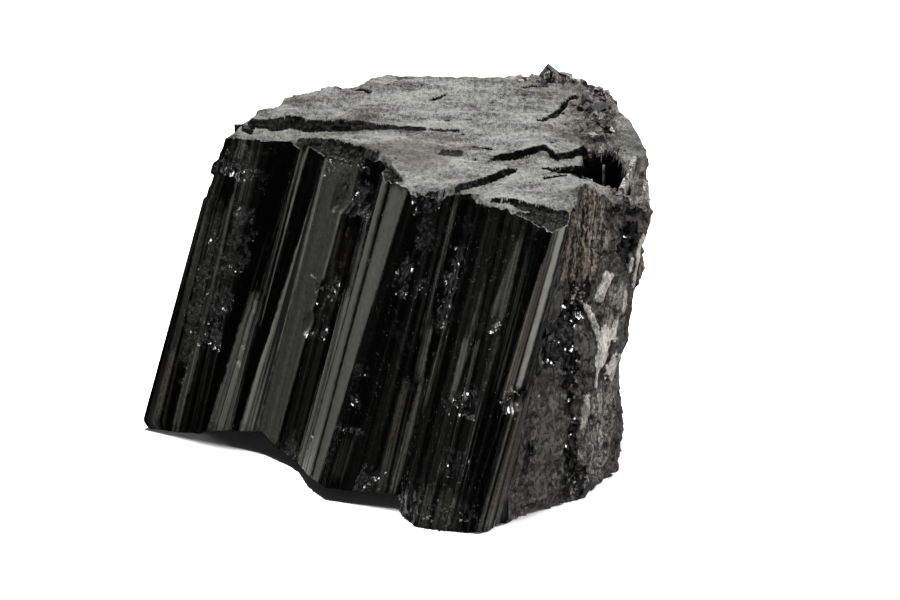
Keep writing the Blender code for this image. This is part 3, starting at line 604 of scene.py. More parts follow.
def side_skin(settings):
    """Points of the skin, row by row from the foot to the rim, and what each place is like."""
    columns = outline_columns(settings)
    normals = plan_normals((columns[:, 0:2] + columns[:, 2:4]) / 2.0)
    line = np.stack([columns[:, 7], columns[:, 7] * 0.0, columns[:, 7] * 0.0], 1)
    ragged_rim = lumps(line, 0.9, 3)
    foot = columns[:, 4] + 0.3 * np.abs(lumps(line, 1.1, 3, 7.0)) * (columns[:, 4] > 0.25)
    rim = columns[:, 5] - 0.30 * np.maximum(ragged_rim, 0.0)
    rim = rim - edge_slope(columns[:, 2], columns[:, 3]) - nick_drop(columns[:, 2], columns[:, 3])
    climb = np.linspace(0.0, 1.0, ROWS + 1)[:, None]
    height = foot + (rim - foot) * climb
    share = height / TOP_PLANE
    x = columns[:, 0] + (columns[:, 2] - columns[:, 0]) * share
    y = columns[:, 1] + (columns[:, 3] - columns[:, 1]) * share
    across = np.broadcast_to(columns[:, 7], height.shape)
    ribbed = np.broadcast_to(columns[:, 8], height.shape)
    uneven = np.broadcast_to(columns[:, 9], height.shape)
    flat = np.stack([x, y, height], 2).reshape(-1, 3)
    shape = height.shape

    fray = lumps(flat, (1.6, 1.6, 3.2), 3, 3.1).reshape(shape)
    fine_fray = lumps(flat, (0.5, 0.5, 1.6), 2, 6.1).reshape(shape)
    coarse = lumps(flat, (LUMP_SIZE, LUMP_SIZE, LUMP_SIZE / 0.7), 3).reshape(shape)
    drift = lumps(np.stack([across, height, height * 0.0], 2), (1.5, 22.0, 1.0), 2).reshape(shape)
    crag = facets(flat, (1.5, 1.5, 2.2), 5.0).reshape(shape)
    chips = facets(flat, (0.7, 0.7, 1.0), 9.0).reshape(shape)
    shards = facets(flat, (0.9, 0.9, 3.4), 2.0).reshape(shape)

    hackly = patch_mask(across, height, HACKLY_PATCHES, 1.2 * fray + 0.8 * fine_fray) * ribbed
    lined = band_mask(across + 0.25 * drift, height, LINED_BANDS, 0.5 * fine_fray, 3.0) * ribbed
    smooth_bands = band_mask(across + 0.1 * drift, height, SMOOTH_BANDS, 0.2 * fine_fray, 1.5) * ribbed
    # Bands that are partly a silky finish and partly painted sheen where the faces catch the light.
    silky_and_sheen = np.maximum(lined, smooth_bands)
    weathered = 1.0 - ribbed
    brown = patch_mask(across, height, BROWN, fray)
    greige = patch_mask(across, height, GREIGE, fray) * weathered
    flake = flake_mask(across, height, 1.3 * fine_fray + fray) * weathered
    glassy = patch_mask(across, height, GLASSY, fray) * weathered * (1.0 - flake)
    smooth = patch_mask(across, height, SMOOTH_GREY, 0.5 * fray) * weathered * (1.0 - flake)
    glassy = glassy * (1.0 - smooth)
    hackly = np.maximum(hackly, 0.6 * glassy)

    calm = np.clip(1.0 - silky_and_sheen, 0.0, 1.0) * (1.0 - smooth)
    depth = np.where(ribbed > 0.5, 0.06, LUMP_DEPTH) * coarse
    depth += columns[:, 6] * (1.0 + 0.9 * drift)
    depth += step_depth(across, height, 0.12 * drift) * ribbed
    depth += uneven * calm * (0.35 + 1.3 * shards + 0.6 * np.abs(fray))
    depth += knocked_out(np.broadcast_to(columns[:, 0], shape), np.broadcast_to(columns[:, 1], shape),
                         height, 1.2 * fray)
    depth += hackly * ribbed * (0.20 + 0.40 * crag + 0.32 * chips)
    depth += weathered * (FLAKE_HEIGHT * (1.0 - flake) - PROUD + (1.0 - flake) * calm * (
        (0.80 - 0.35 * brown) * crag + 0.35 * chips + 0.25 * np.abs(fray)) + 0.16 * flake * drift)
    ridges = np.sin((across + 0.9 * coarse + 0.5 * fray) * math.tau / RIDGE_PITCH)
    depth += 0.14 * ridges * brown * weathered * (1.0 - flake)
    away = np.hypot(across - SWIRL[0], (height - SWIRL[1]) * 0.8)
    rings = np.cos(away * math.tau / SWIRL[3])
    depth += 0.16 * rings * smooth_step(1.4 - away / SWIRL[2]) * weathered
    depth += 0.35 * smooth_step(1.0 - (rim - height) / 0.7) * np.abs(fine_fray)
    from_left_edge = np.minimum(across, columns[-1, 7] - across)
    depth *= smooth_step((from_left_edge + 0.2) / 2.6)
    set_back = 1.5 * np.maximum(0.0, 1.0 - height / 2.4) ** 2 - 0.15
    for level, setting in LEFT_EDGE_CHIPS[1:]:
        set_back = np.where(height + 0.5 * fray > level, setting, set_back)
    x = x - normals[:, 0] * depth + set_back * smooth_step(1.0 - from_left_edge / 5.0)
    y = y - normals[:, 1] * depth
    places = np.stack([x, y, height], 2)
    masks = {"across": across, "hackly": hackly, "silky_and_sheen": silky_and_sheen, "lined": 1.0 * (lined > smooth_bands),
             "brown": brown, "greige": greige, "flake": flake, "glassy": glassy,
             "smooth_grey": smooth,
             "swirl": away * smooth_step(1.6 - away / SWIRL[2]) * weathered}
    masks["glint"] = cut_glints(places, across, height)
    return places, masks, columns


def cut_glints(places, across, height):
    """Cuts the fresh facets that mirror a light to the eye, and says where they are."""
    eye = toward_camera(EYE_ELEVATION)
    chance = random.Random(8)
    mask = np.zeros_like(across)
    for place, level, radius in GLINTS:
        nearest = np.unravel_index(np.argmin(np.hypot(across - place, height - level)), across.shape)
        middle = places[nearest].copy()
        light = KEY_PLACE if place < LAST_KEY_GLINT else RIGHT_PLACE
        facing = (eye + Vector(light).normalized()).normalized()
        tilt = np.array([chance.uniform(-0.02, 0.02) for _ in range(3)])
        normal = np.array(facing) + tilt
        normal /= np.linalg.norm(normal)
        away = places - middle
        near = np.linalg.norm(away * (1.3, 1.3, 0.8), axis=2) < radius * 1.4
        above = away @ normal + 0.35 * radius
        cut = near & (above > 0.0)
        places[cut] -= above[cut][:, None] * normal
        mask[cut] = 1.0 if place < LAST_KEY_GLINT else RIGHT_GLINT
    return mask


# ---------------------------------------------------------------- the fractures


def blended_level(x, y, levels):
    """Height blended from known heights by the inverse cube of distance."""
    total = np.zeros_like(x)
    weights = np.zeros_like(x)
    for level_x, level_y, level in levels:
        weight = 1.0 / (0.05 + np.hypot(x - level_x, y - level_y) ** 3)
        total += weight * level
        weights += weight
    return total / weights


def along_line(x, y, line):
    """Distance to a line of points, whether right of it, and the third value of the line there."""
    best = np.full_like(x, np.inf)
    right = np.zeros(x.shape, bool)
    value = np.zeros_like(x)
    for start, end in zip(line, line[1:]):
        run = np.subtract(end[:2], start[:2])
        share = ((x - start[0]) * run[0] + (y - start[1]) * run[1]) / (run @ run)
        share = np.clip(share, 0.0, 1.0)
        reach = np.hypot(x - start[0] - run[0] * share, y - start[1] - run[1] * share)
        nearer = reach < best
        best = np.where(nearer, reach, best)
        right = np.where(nearer, run[0] * (y - start[1]) < run[1] * (x - start[0]), right)
        if len(start) > 2:
            value = np.where(nearer, start[2] + (end[2] - start[2]) * share, value)
    return best, right, value


def ledge_drop(x, y, ledge, wander=0.0, farthest=LEDGE_REACH):
    """How far a ledge lowers each place; the drop fades out at the distance farthest."""
    run, line = ledge
    reach, right, drop = along_line(x, y, line)
    reach = np.maximum(reach + wander, 0.0)
    return right * drop * smooth_step(reach / run) * (1.0 - smooth_step(reach / farthest))


def edge_slope(x, y):
    """Drop of the slopes toward the broken stretches of the rim."""
    drop = np.zeros_like(x)
    for slope in EDGE_SLOPES:
        drop += ledge_drop(x, y, slope, 0.0, SLOPE_REACH)
    return drop


def inside_outline(x, y, outline):
    """Whether each place is inside a closed outline, by how many of its sides lie to the right."""
    crossings = np.zeros(np.shape(x), int)
    for start, end in zip(outline, list(outline[1:]) + [outline[0]]):
        if start[1] == end[1]:
            continue
        spans = (start[1] > y) != (end[1] > y)
        at = start[0] + (end[0] - start[0]) * (y - start[1]) / (end[1] - start[1])
        crossings += spans & (at > x)
    return crossings % 2 == 1


def hollow_depth(x, y, outline, deepest, wall, wander=0.0):
    """Depth of a steep-walled hollow with the given outline."""
    reach, _, _ = along_line(x, y, outline + outline[:1])
    return inside_outline(x, y, outline) * deepest * smooth_step(np.maximum(reach + wander, 0.0) / wall)


def oval_patch(x, y, patch, wander):
    """Strength of a patch of the top at each place; wander frays its edge."""
    middle_x, middle_y, half_x, half_y, reach, fray, strength = patch
    away = np.hypot((x - middle_x) / half_x, (y - middle_y) / half_y)
    return strength * smooth_step(reach - away + fray * wander)


def top_surface(x, y, rim_levels):
    """Height of the top fracture, and its masks."""
    flat = np.stack([x, y, np.full_like(x, 3.0)], 1)
    wander = 0.28 * lumps(flat, 1.6, 3, 2.0)
    height = blended_level(x, y, rim_levels + TOP_LEVELS)
    riser = np.zeros_like(x)
    for run, line in LEDGES:
        reach, beyond, size = along_line(x, y, line)
        riser = np.maximum(riser, beyond * np.minimum(1.4 * size, 1.0) * smooth_step(
            (run + 0.25 - reach - wander) / 0.5))
        height = height - ledge_drop(x, y, (run, line), wander)
    slope = edge_slope(x, y)
    for width, depth, line in CRACKS:
        reach, _, _ = along_line(x, y, line)
        cut = np.clip(1.0 - np.maximum(reach + 0.6 * wander, 0.0) / width, 0.0, 1.0)
        riser = np.maximum(riser, np.minimum(1.0, 1.8 * cut))
        height = height - depth * cut
    pocket = hollow_depth(x, y, POCKET, POCKET_DEPTH, POCKET_WALL, wander)
    wedge = hollow_depth(x, y, WEDGE, WEDGE_DEPTH, WEDGE_WALL, wander)
    rim_green = oval_patch(x, y, GREEN_RIM, wander)
    rubble = np.maximum.reduce([oval_patch(x, y, patch, wander) for patch in RUBBLE_PATCHES])
    rubble = rubble * (1.0 - rim_green)
    bruise = oval_patch(x, y, BRUISE, wander)
    sloped = smooth_step(slope / 0.5 + 0.5 * wander)
    dull = oval_patch(x, y, DULL_PATCH, wander)
    scoop = hollow_depth(x, y, SCOOP, 1.0, 0.6, 0.6 * wander)
    sloped = sloped * (1.0 - scoop)
    first = riser * (y > 1.6)
    height = height - slope - pocket - wedge - nick_drop(x, y) - 0.35 * bruise
    ripple = lumps(flat, (7.0, 2.0, 1.0), 3, 1.0)
    height += 0.26 * ripple + 0.13 * facets(flat, (2.6, 1.0, 1.0), 5.0)
    pits = np.maximum(0.0, lumps(flat, (0.9, 0.6, 1.0), 2, 7.0) - 0.55) * (1.0 - rim_green)
    height -= 1.1 * pits
    height += (0.16 + 0.75 * rubble + 0.5 * sloped) * facets(flat, (1.7, 1.3, 1.3), 4.0)
    height += (0.14 + 0.35 * rubble + 0.3 * sloped) * facets(flat, (0.8, 0.6, 0.6), 8.0)
    # Painted shade: the riser mask marks ledge risers, cracks and pits, painted near black; the sloped
    # mask and the pocket and wedge carry painted shade too.
    masks = {"riser": np.maximum(riser, np.minimum(1.0, 3.0 * pits)),
             "glassy": smooth_step(np.maximum(pocket / 1.2, wedge / 0.8)), "rubble": rubble,
             "sloped": np.maximum.reduce([sloped, 0.7 * bruise, 0.6 * first, scoop]),
             "brown": dull, "smooth_grey": np.maximum(rim_green, 0.85 * scoop)}
    return height, masks


def foot_surface(x, y, foot_levels):
    """Height of the fracture at the foot, which has no masks."""
    flat = np.stack([x, y, np.full_like(x, 40.0)], 1)
    height = blended_level(x, y, foot_levels + FOOT_LEVELS) + 0.5 * lumps(flat, 6.0, 2)
    return np.maximum(0.0, height), {}


def grid_inside(rim, spacing, seed):
    """A jittered triangular grid of places inside the rim, clear of it."""
    chance = np.random.default_rng(seed)
    low = rim.min(0)
    high = rim.max(0)
    rows = np.arange(low[1], high[1], spacing * 0.866)
    steps = np.arange(low[0], high[0], spacing)
    x, y = np.meshgrid(steps, rows)
    x = x + 0.5 * spacing * (np.arange(len(rows)) % 2)[:, None]
    x = (x + chance.uniform(-0.22, 0.22, x.shape) * spacing).ravel()
    y = (y + chance.uniform(-0.22, 0.22, y.shape) * spacing).ravel()
    outline = [tuple(place) for place in rim]
    kept = inside_outline(x, y, outline)
    x = x[kept]
    y = y[kept]
    gap = np.full(len(x), np.inf)
    for place in outline:
        gap = np.minimum(gap, np.hypot(x - place[0], y - place[1]))
    clear = gap > 0.55 * spacing
    return np.stack([x[clear], y[clear]], 1)


def cap(rim, spacing, surface, levels, seed):
    """Places, triangles and masks of a fracture that closes the rim; rim places come first."""
    inner = grid_inside(rim, spacing, seed)
    count = len(rim)
    vectors = [Vector(place) for place in np.concatenate([rim, inner])]
    edges = [(index, (index + 1) % count) for index in range(count)]
    places, _, faces, origins, _, _ = geometry.delaunay_2d_cdt(
        vectors, edges, [list(range(count))], 1, 1e-6)
    order = []
    for place, origin in zip(places, origins):
        order.append(origin[0] if origin else int(np.argmin(
            np.hypot(rim[:, 0] - place.x, rim[:, 1] - place.y))))
    height, masks = surface(inner[:, 0], inner[:, 1], levels)
    named = [[order[corner] for corner in face] for face in faces]
    kept = [face for face in named if len(set(face)) == len(face)]
    return np.column_stack([inner, height]), kept, masks


# ---------------------------------------------------------------- fragments


BLOCK_CORNERS = np.array([(x, y, z) for z in (-1, 1) for y in (-1, 1) for x in (-1, 1)], float)
BLOCK_FACES = ((0, 2, 3, 1), (4, 5, 7, 6), (0, 1, 5, 4), (2, 6, 7, 3), (0, 4, 6, 2), (1, 3, 7, 5))
FRAGMENT_KINDS = ("glassy", "glassy", "glassy", "greige", "brown", "smooth_grey", "pale")


def fragment_corners(chance, middle, size):
    """Eight corners of an angular block turned at random."""
    corners = BLOCK_CORNERS * np.array([chance.uniform(0.25, 0.6) for _ in range(3)]) * size
    corners += np.array([[chance.uniform(-0.22, 0.22) for _ in range(3)] for _ in range(8)]) * size
    turn = Euler([chance.uniform(0.0, math.tau) for _ in range(3)]).to_matrix()
    return corners @ np.array(turn).T + middle


def all_fragments(skin, masks, top, top_masks):
    """Corners and kind of every loose-looking fragment; all are grown fast to the stone."""
    chance = random.Random(21)
    made = []
    solid = top_masks["glassy"] < 0.5
    for x, y, spread_x, spread_y, count, size in TOP_RUBBLE:
        for _ in range(count):
            at = (x + chance.gauss(0.0, 0.5) * spread_x, y + chance.gauss(0.0, 0.5) * spread_y)
            away = np.hypot(top[:, 0] - at[0], top[:, 1] - at[1]) + 9.0 * ~solid
            nearest = int(np.argmin(away))
            if away[nearest] < 0.6:
                own = size * chance.uniform(0.5, 1.3)
                made.append((fragment_corners(chance, top[nearest] + (0, 0, 0.1 * own), own),
                             chance.choice(FRAGMENT_KINDS)))
    middle = skin.reshape(-1, 3).mean(0)
    for place, level, spread, climb, count, size in SIDE_RUBBLE:
        for _ in range(count):
            at = (place + chance.gauss(0.0, 0.5) * spread, level + chance.gauss(0.0, 0.5) * climb)
            nearest = np.unravel_index(np.argmin(
                np.hypot(masks["across"] - at[0], skin[:, :, 2] - at[1])), skin.shape[:2])
            own = size * chance.uniform(0.5, 1.3)
            inward = (middle - skin[nearest]) * (1, 1, 0)
            inward = inward / np.linalg.norm(inward)
            made.append((fragment_corners(chance, skin[nearest] + 0.25 * own * inward, own),
                         chance.choice(FRAGMENT_KINDS)))
    for *ends, thick, kind in SLABS:
        start = np.array(ends[:3])
        end = np.array(ends[3:])
        along = (end - start) * (1, 1, 0)
        sideways = thick * np.array([-along[1], along[0], 0.0]) / np.linalg.norm(along)
        below = np.array([0.0, 0.0, -SLAB_DEPTH])
        corners = np.array([low + side * sideways * share for low, share in (
            (below, 1.0), (0.0 * below, 0.7 if kind == "glassy" else 0.35)) for side in (-1, 1)
            for _ in (0, 1)])
        corners += np.array([start, end] * 4)
        corners += np.array([[chance.uniform(-0.25, 0.25) for _ in range(3)] for _ in range(8)])
        made.append((corners, kind))
    return made


# ---------------------------------------------------------------- the stone's mesh


def stone_arrays(settings):
    """All places in millimetres, faces, material numbers and masks of the stone."""
    skin, skin_masks, columns = side_skin(settings)
    rows, count = skin.shape[:2]
    index = np.arange(rows * count).reshape(rows, count)
    after = np.roll(index, -1, 1)
    quads = np.stack([index[:-1], after[:-1], after[1:], index[1:]], 2).reshape(-1, 4)
    ribbed = np.broadcast_to(columns[:, 8] > 0.5, (rows - 1, count)).ravel()

    every = slice(None, None, 4)
    rim_levels = []
    for x, y, level in zip(columns[every, 2], columns[every, 3], columns[every, 5]):
        here_x = np.array([x])
        here_y = np.array([y])
        drops = sum(float(ledge_drop(here_x, here_y, ledge)[0]) for ledge in LEDGES)
        rim_levels.append((x, y, level + drops))
    foot_levels = [tuple(row) for row in columns[every][:, [0, 1, 4]]]
    top, top_faces, top_masks = cap(
        skin[-1, :, :2], TOP_SPACING, top_surface, tuple(rim_levels), 2)
    foot, foot_faces, _ = cap(skin[0, :, :2], FOOT_SPACING, foot_surface, tuple(foot_levels), 5)
    fragments = all_fragments(skin, skin_masks, top, top_masks)

    top_start = rows * count
    foot_start = top_start + len(top)
    fragment_start = foot_start + len(foot)
    places = np.concatenate([skin.reshape(-1, 3), top, foot] + [corners for corners, _ in fragments])
    rim_index = index[-1]
    faces = [tuple(quad) for quad in quads.tolist()]
    for face in top_faces:
        faces.append(tuple(int(rim_index[c]) if c < count else top_start + c - count for c in face))
    for face in foot_faces:
        faces.append(tuple(c if c < count else foot_start + c - count for c in reversed(face)))
    lumpy = (skin_masks["glassy"] + skin_masks["glint"]).ravel()[quads].mean(1) > 0.6
    slots = np.where(ribbed | lumpy, PRISM, WEATHERED).tolist()
    slots += [FRACTURE] * (len(top_faces) + len(foot_faces))
    # Risers, cracks, pits, the pocket, the wedge and the slopes take the finish that paints shade.
    shaded = np.concatenate([np.zeros(count), np.maximum.reduce([
        top_masks["riser"], top_masks["glassy"], 0.9 * top_masks["sloped"]])])
    for number, face in enumerate(top_faces):
        if max(face) >= count and shaded[list(face)].mean() > 0.4:
            slots[len(quads) + number] = CREVICE_SHADE
    masks = {}
    for name, values in skin_masks.items():
        masks[name] = np.zeros(len(places))
        masks[name][:top_start] = values.ravel()
    for name, values in top_masks.items():
        whole = masks.setdefault(name, np.zeros(len(places)))
        whole[top_start:foot_start] = values
    for number, (_, kind) in enumerate(fragments):
        first = fragment_start + 8 * number
        for name, strength in MIXED_KINDS.get(kind, {kind: 1.0}).items():
            masks[name][first:first + 8] = strength
        for face in BLOCK_FACES:
            faces.append(tuple(first + corner for corner in face))
            slots.append(WEATHERED)
    return places, faces, slots, masks


def stone_object(settings):
    """The stone as one object with its masks as attributes and its four finishes."""
    places, faces, slots, masks = stone_arrays(settings)
    low, high = CAD_BOX
    places = np.clip(places * MM, np.array(low), np.array(high))
    mesh = bpy.data.meshes.new("tourmaline_stone")
    mesh.from_pydata(places.tolist(), [], faces)
    mesh.polygons.foreach_set("material_index", slots)
    for name, values in masks.items():
        layer = mesh.attributes.new(name, "FLOAT", "POINT")
        layer.data.foreach_set("value", values.astype(np.float32))
    mesh.update()
    mesh.shade_smooth()
    mesh.set_sharp_from_angle(angle=SHARP_ANGLE)
    for maker in (prism_material, fracture_material, weathered_material, crevice_shade_material):
        mesh.materials.append(maker(settings))
    stone = bpy.data.objects.new("tourmaline_stone", mesh)
    bpy.context.scene.collection.objects.link(stone)
    return stone


# ---------------------------------------------------------------- shader building blocks


class Signal:
    """The output of a shader node; sums of it with others and with numbers become nodes."""

    def __init__(self, socket):
        self.socket = socket
        self.tree = socket.id_data

    def __add__(self, other):
        return maths("ADD", self, other)

    def __sub__(self, other):
        return maths("SUBTRACT", self, other)

    def __rsub__(self, other):
        return maths("SUBTRACT", other, self)

    def __mul__(self, other):
        return maths("MULTIPLY", self, other)

    def __truediv__(self, other):
        return maths("DIVIDE", self, other)

    def clamped(self):
        """The same result kept between 0 and 1."""
        self.socket.node.use_clamp = True
        return self


def plug(value, socket):
    """Links a signal to a socket, or sets the socket to a plain value."""
    if isinstance(value, Signal):
        value.tree.links.new(value.socket, socket)
    else:
        socket.default_value = value


def add_node(tree, kind, **values):
    """A node with its settings, and its input sockets, whose names have _ for a space."""
    made = tree.nodes.new(kind)
    for name, value in values.items():
        if hasattr(made, name):
            setattr(made, name, value)
        else:
            plug(value, made.inputs[name.replace("_", " ")])
    return made


def maths(operation, *values, kind="ShaderNodeMath", output=0):
    """The result of a node that computes with signals and plain values."""
    tree = next(value.tree for value in values if isinstance(value, Signal))
    made = add_node(tree, kind, operation=operation)
    for socket, value in zip(made.inputs, values):
        plug(value, socket)
    return Signal(made.outputs[output])


def vector_maths(operation, *values, output="Vector"):
    """The same with vectors; a single number stands for three."""
    return maths(operation, *values, kind="ShaderNodeVectorMath", output=output)


def vector_part(vector, number):
    """One of the three numbers of a vector or a colour."""
    return Signal(add_node(vector.tree, "ShaderNodeSeparateXYZ", Vector=vector).outputs[number])


def mixed_color(factor, first, second):
    """A colour between first and second; each is a signal or three numbers."""
    made = add_node(factor.tree, "ShaderNodeMix", data_type="RGBA")
    plug(factor, made.inputs[0])
    for number, value in ((6, first), (7, second)):
        plug(value if isinstance(value, Signal) else (*value, 1.0), made.inputs[number])
    return Signal(made.outputs[2])


def noise_at(place, scale, detail, rough):
    """Noise about 0.5."""
    return Signal(add_node(place.tree, "ShaderNodeTexNoise", Vector=place, Scale=scale,
                           Detail=detail, Roughness=rough).outputs[0])


def scaled_place(given):
    """The place given to a group, counted in grains of the given size and stretch."""
    return vector_maths("DIVIDE", vector_maths("DIVIDE", given["Place"], given["Size"]),
                        given["Stretch"])


def striations(given):
    """Fine lines along the crystal axis; Streak is 0 on average."""
    layers = ((1.0, 0.02, 1.0), (0.37, 0.012, 1.6), (2.3, 0.05, 0.35))
    total = None
    for scale, stretch, weight in layers:
        spot = add_node(given["Across"].tree, "ShaderNodeCombineXYZ",
                        X=given["Across"] / given["Pitch"] * scale, Y=given["Height"] * stretch)
        part = noise_at(Signal(spot.outputs[0]), 1.0, 1.0, 0.5) * weight
        total = part if total is None else total + part
    return {"Relief": total * given["Depth"], "Streak": total - 0.5 * sum(layer[2] for layer in layers)}


def frayed_mask(given):
    """A mask with its edge made keener and frayed by a noise about 0.5."""
    frayed = (given["Noise"] - 0.5) * 0.8 + given["Mask"]
    return {"Frayed": ((frayed - 0.5) * given["Keenness"] + 0.5).clamped()}


def hackly_grain(given):
    """Small cells, each a plane with a tilt of its own."""
    place = scaled_place(given)
    cells = add_node(place.tree, "ShaderNodeTexVoronoi", Vector=place, Scale=1.0)
    edges = add_node(place.tree, "ShaderNodeTexVoronoi", feature="DISTANCE_TO_EDGE", Vector=place,
                     Scale=1.0)
    own = Signal(cells.outputs["Color"])
    offset = vector_maths("SUBTRACT", place, Signal(cells.outputs["Position"]))
    slope = vector_maths("DOT_PRODUCT", offset, vector_maths("SUBTRACT", own, (0.5, 0.5, 0.5)),
                         output="Value")
    return {"Relief": slope * given["Size"], "Shade": vector_part(own, 1),
            "Seams": (Signal(edges.outputs["Distance"]) * -9.0 + 1.0).clamped()}


def pitted_grain(given):
    """Even rough grain with pits."""
    place = scaled_place(given)
    rough = noise_at(place, 1.0, 5.0, 0.65)
    pits = ((0.36 - noise_at(place, 0.35, 3.0, 0.6)) * 9.0).clamped()
    return {"Relief": rough * given["Size"] - pits * 0.3, "Shade": rough, "Pits": pits}


# Shader groups: how each is made, its inputs, its outputs. Every Relief is millimetres of height.
GRAIN_INPUTS = {"Place": (0.0, 0.0, 0.0), "Size": 0.5, "Stretch": (1.0, 1.0, 1.0)}
GROUPS = {
    "Striations": (striations, {"Across": 0.0, "Height": 0.0, "Pitch": 0.36, "Depth": 0.02},
                   ("Relief", "Streak")),
    "Frayed mask": (frayed_mask, {"Mask": 0.0, "Noise": 0.5, "Keenness": 2.0}, ("Frayed",)),
    "Hackly grain": (hackly_grain, GRAIN_INPUTS, ("Relief", "Shade", "Seams")),
    "Grain": (pitted_grain, GRAIN_INPUTS, ("Relief", "Shade", "Pits"))}


def shader_group(name):
    """The shader group of that name, which is made when it is first asked for."""
    if name in bpy.data.node_groups:
        return bpy.data.node_groups[name]
    maker, inputs, outputs = GROUPS[name]
    group = bpy.data.node_groups.new(name, "ShaderNodeTree")
    for socket_name, default in inputs.items():
        kind = "NodeSocketFloat" if isinstance(default, float) else "NodeSocketVector"
        socket = group.interface.new_socket(socket_name, in_out="INPUT", socket_type=kind)
        socket.default_value = default
    for socket_name in outputs:
        group.interface.new_socket(socket_name, in_out="OUTPUT", socket_type="NodeSocketFloat")
    given = group.nodes.new("NodeGroupInput").outputs
    result = group.nodes.new("NodeGroupOutput")
    for socket_name, value in maker({name: Signal(given[name]) for name in inputs}).items():
        plug(value, result.inputs[socket_name])
    return group


def blended_tone(tone, *parts):
    """A tone moved by shades about 0.5, each with its weight."""
    for shade, weight in parts:
        tone = (shade - 0.5) * weight + tone
    return tone


class Finish:
    """A material of the stone while it is made; places are in millimetres."""

    def __init__(self, name, gloss=0.5):
        self.material = bpy.data.materials.new(name)
        self.material.use_nodes = True
        self.tree = self.material.node_tree
        self.shader = self.tree.nodes["Principled BSDF"]
        self.shader.inputs["IOR"].default_value = TOURMALINE_IOR
        self.shader.inputs["Specular IOR Level"].default_value = gloss
        spot = Signal(self.tree.nodes.new("ShaderNodeTexCoord").outputs["Object"])
        scaled = add_node(self.tree, "ShaderNodeVectorMath", operation="SCALE", Vector=spot,
                          Scale=1.0 / MM)
        self.place = Signal(scaled.outputs[0])

    def mask(self, name, keen=None, noise=None):
        """One of the stone's masks, with a keen, frayed edge where keen and a noise are given."""
        found = Signal(add_node(self.tree, "ShaderNodeAttribute", attribute_name=name).outputs["Fac"])
        if keen is None:
            return found
        return self.group("Frayed mask", Mask=found, Noise=noise, Keenness=keen)["Frayed"]

    def group(self, name, **values):
        """The outputs of a shader group, by name."""
        made = add_node(self.tree, "ShaderNodeGroup", node_tree=shader_group(name), **values)
        return {each.name: Signal(each) for each in made.outputs}

    def lines(self, across, pitch, depth):
        """Lines along the axis; across is the distance round the stone, pitch is in millimetres."""
        return self.group("Striations", Across=across, Height=vector_part(self.place, 2),
                          Pitch=pitch, Depth=depth)

    def hackle(self, size, stretch=(1.0, 1.0, 1.0)):
        return self.group("Hackly grain", Place=self.place, Size=size, Stretch=stretch)

    def grain(self, size, stretch=(1.0, 1.0, 1.0)):
        return self.group("Grain", Place=self.place, Size=size, Stretch=stretch)

    def completed(self, color, rough, reliefs):
        """The material, with its colour, roughness and reliefs, each on top of the one before."""
        plug(color, self.shader.inputs["Base Color"])
        plug(rough, self.shader.inputs["Roughness"])
        below = None
        for relief in reliefs:
            bump = add_node(self.tree, "ShaderNodeBump", Strength=1.0, Distance=MM, Height=relief)
            if below:
                plug(below, bump.inputs["Normal"])
            below = Signal(bump.outputs[0])
        plug(below, self.shader.inputs["Normal"])
        return self.material


def prism_material(settings):
    """Glossy black prism faces with fine striations, silky bands that are partly painted sheen, and
    hackly patches.
    """
    finish = Finish("prism_faces")
    hackly = finish.mask("hackly")
    silky_and_sheen = finish.mask("silky_and_sheen")
    brown = finish.mask("brown")
    plain = 1.0 - finish.mask("glint")
    lines = finish.lines(finish.mask("across"), settings.striation_pitch / MM, 0.035)
    hackle = finish.hackle(0.42, (1.0, 1.0, 1.6))
    splinter = finish.hackle(0.5, (0.8, 0.8, 4.5))
    grain = finish.grain(0.4, (1.0, 1.0, 2.5))["Shade"]
    speck = finish.grain(0.16)["Shade"]
    stain = Vector(settings.stain_color)
    streaked = lines["Streak"] * (finish.mask("lined") * 4.2 + 0.6) + 1.0
    mottled = grain * 1.4 - 0.6 + speck * 1.8
    # The bands are painted lighter: partly a silky finish, partly painted sheen.
    silk_and_sheen = (silky_and_sheen * 0.69 * streaked * mottled).clamped()
    stained = mixed_color(brown, settings.silk_and_sheen_color, 1.5 * stain)
    color = mixed_color(silk_and_sheen, settings.prism_color, stained)
    faint = ((lines["Streak"] - 0.26) * 0.42).clamped() * speck
    color = mixed_color(faint, color, stained)
    dusty = (hackly * 1.1 - 1.45 + hackle["Shade"] * 0.8 + speck * 0.9).clamped()
    dusty = dusty * (1.0 - hackle["Seams"]) * maths("GREATER_THAN", hackly, 0.02)
    color = mixed_color(dusty, color, mixed_color(brown, settings.dust_color, 1.2 * stain))
    rough = (silky_and_sheen * 0.40 + 0.07 + grain * 0.14).clamped()
    return finish.completed(color, rough, (
        lines["Relief"] * plain, hackle["Relief"] * (hackly * 1.3 + 0.02) * plain,
        splinter["Relief"] * ((1.0 - silky_and_sheen).clamped() * 0.08) * plain))


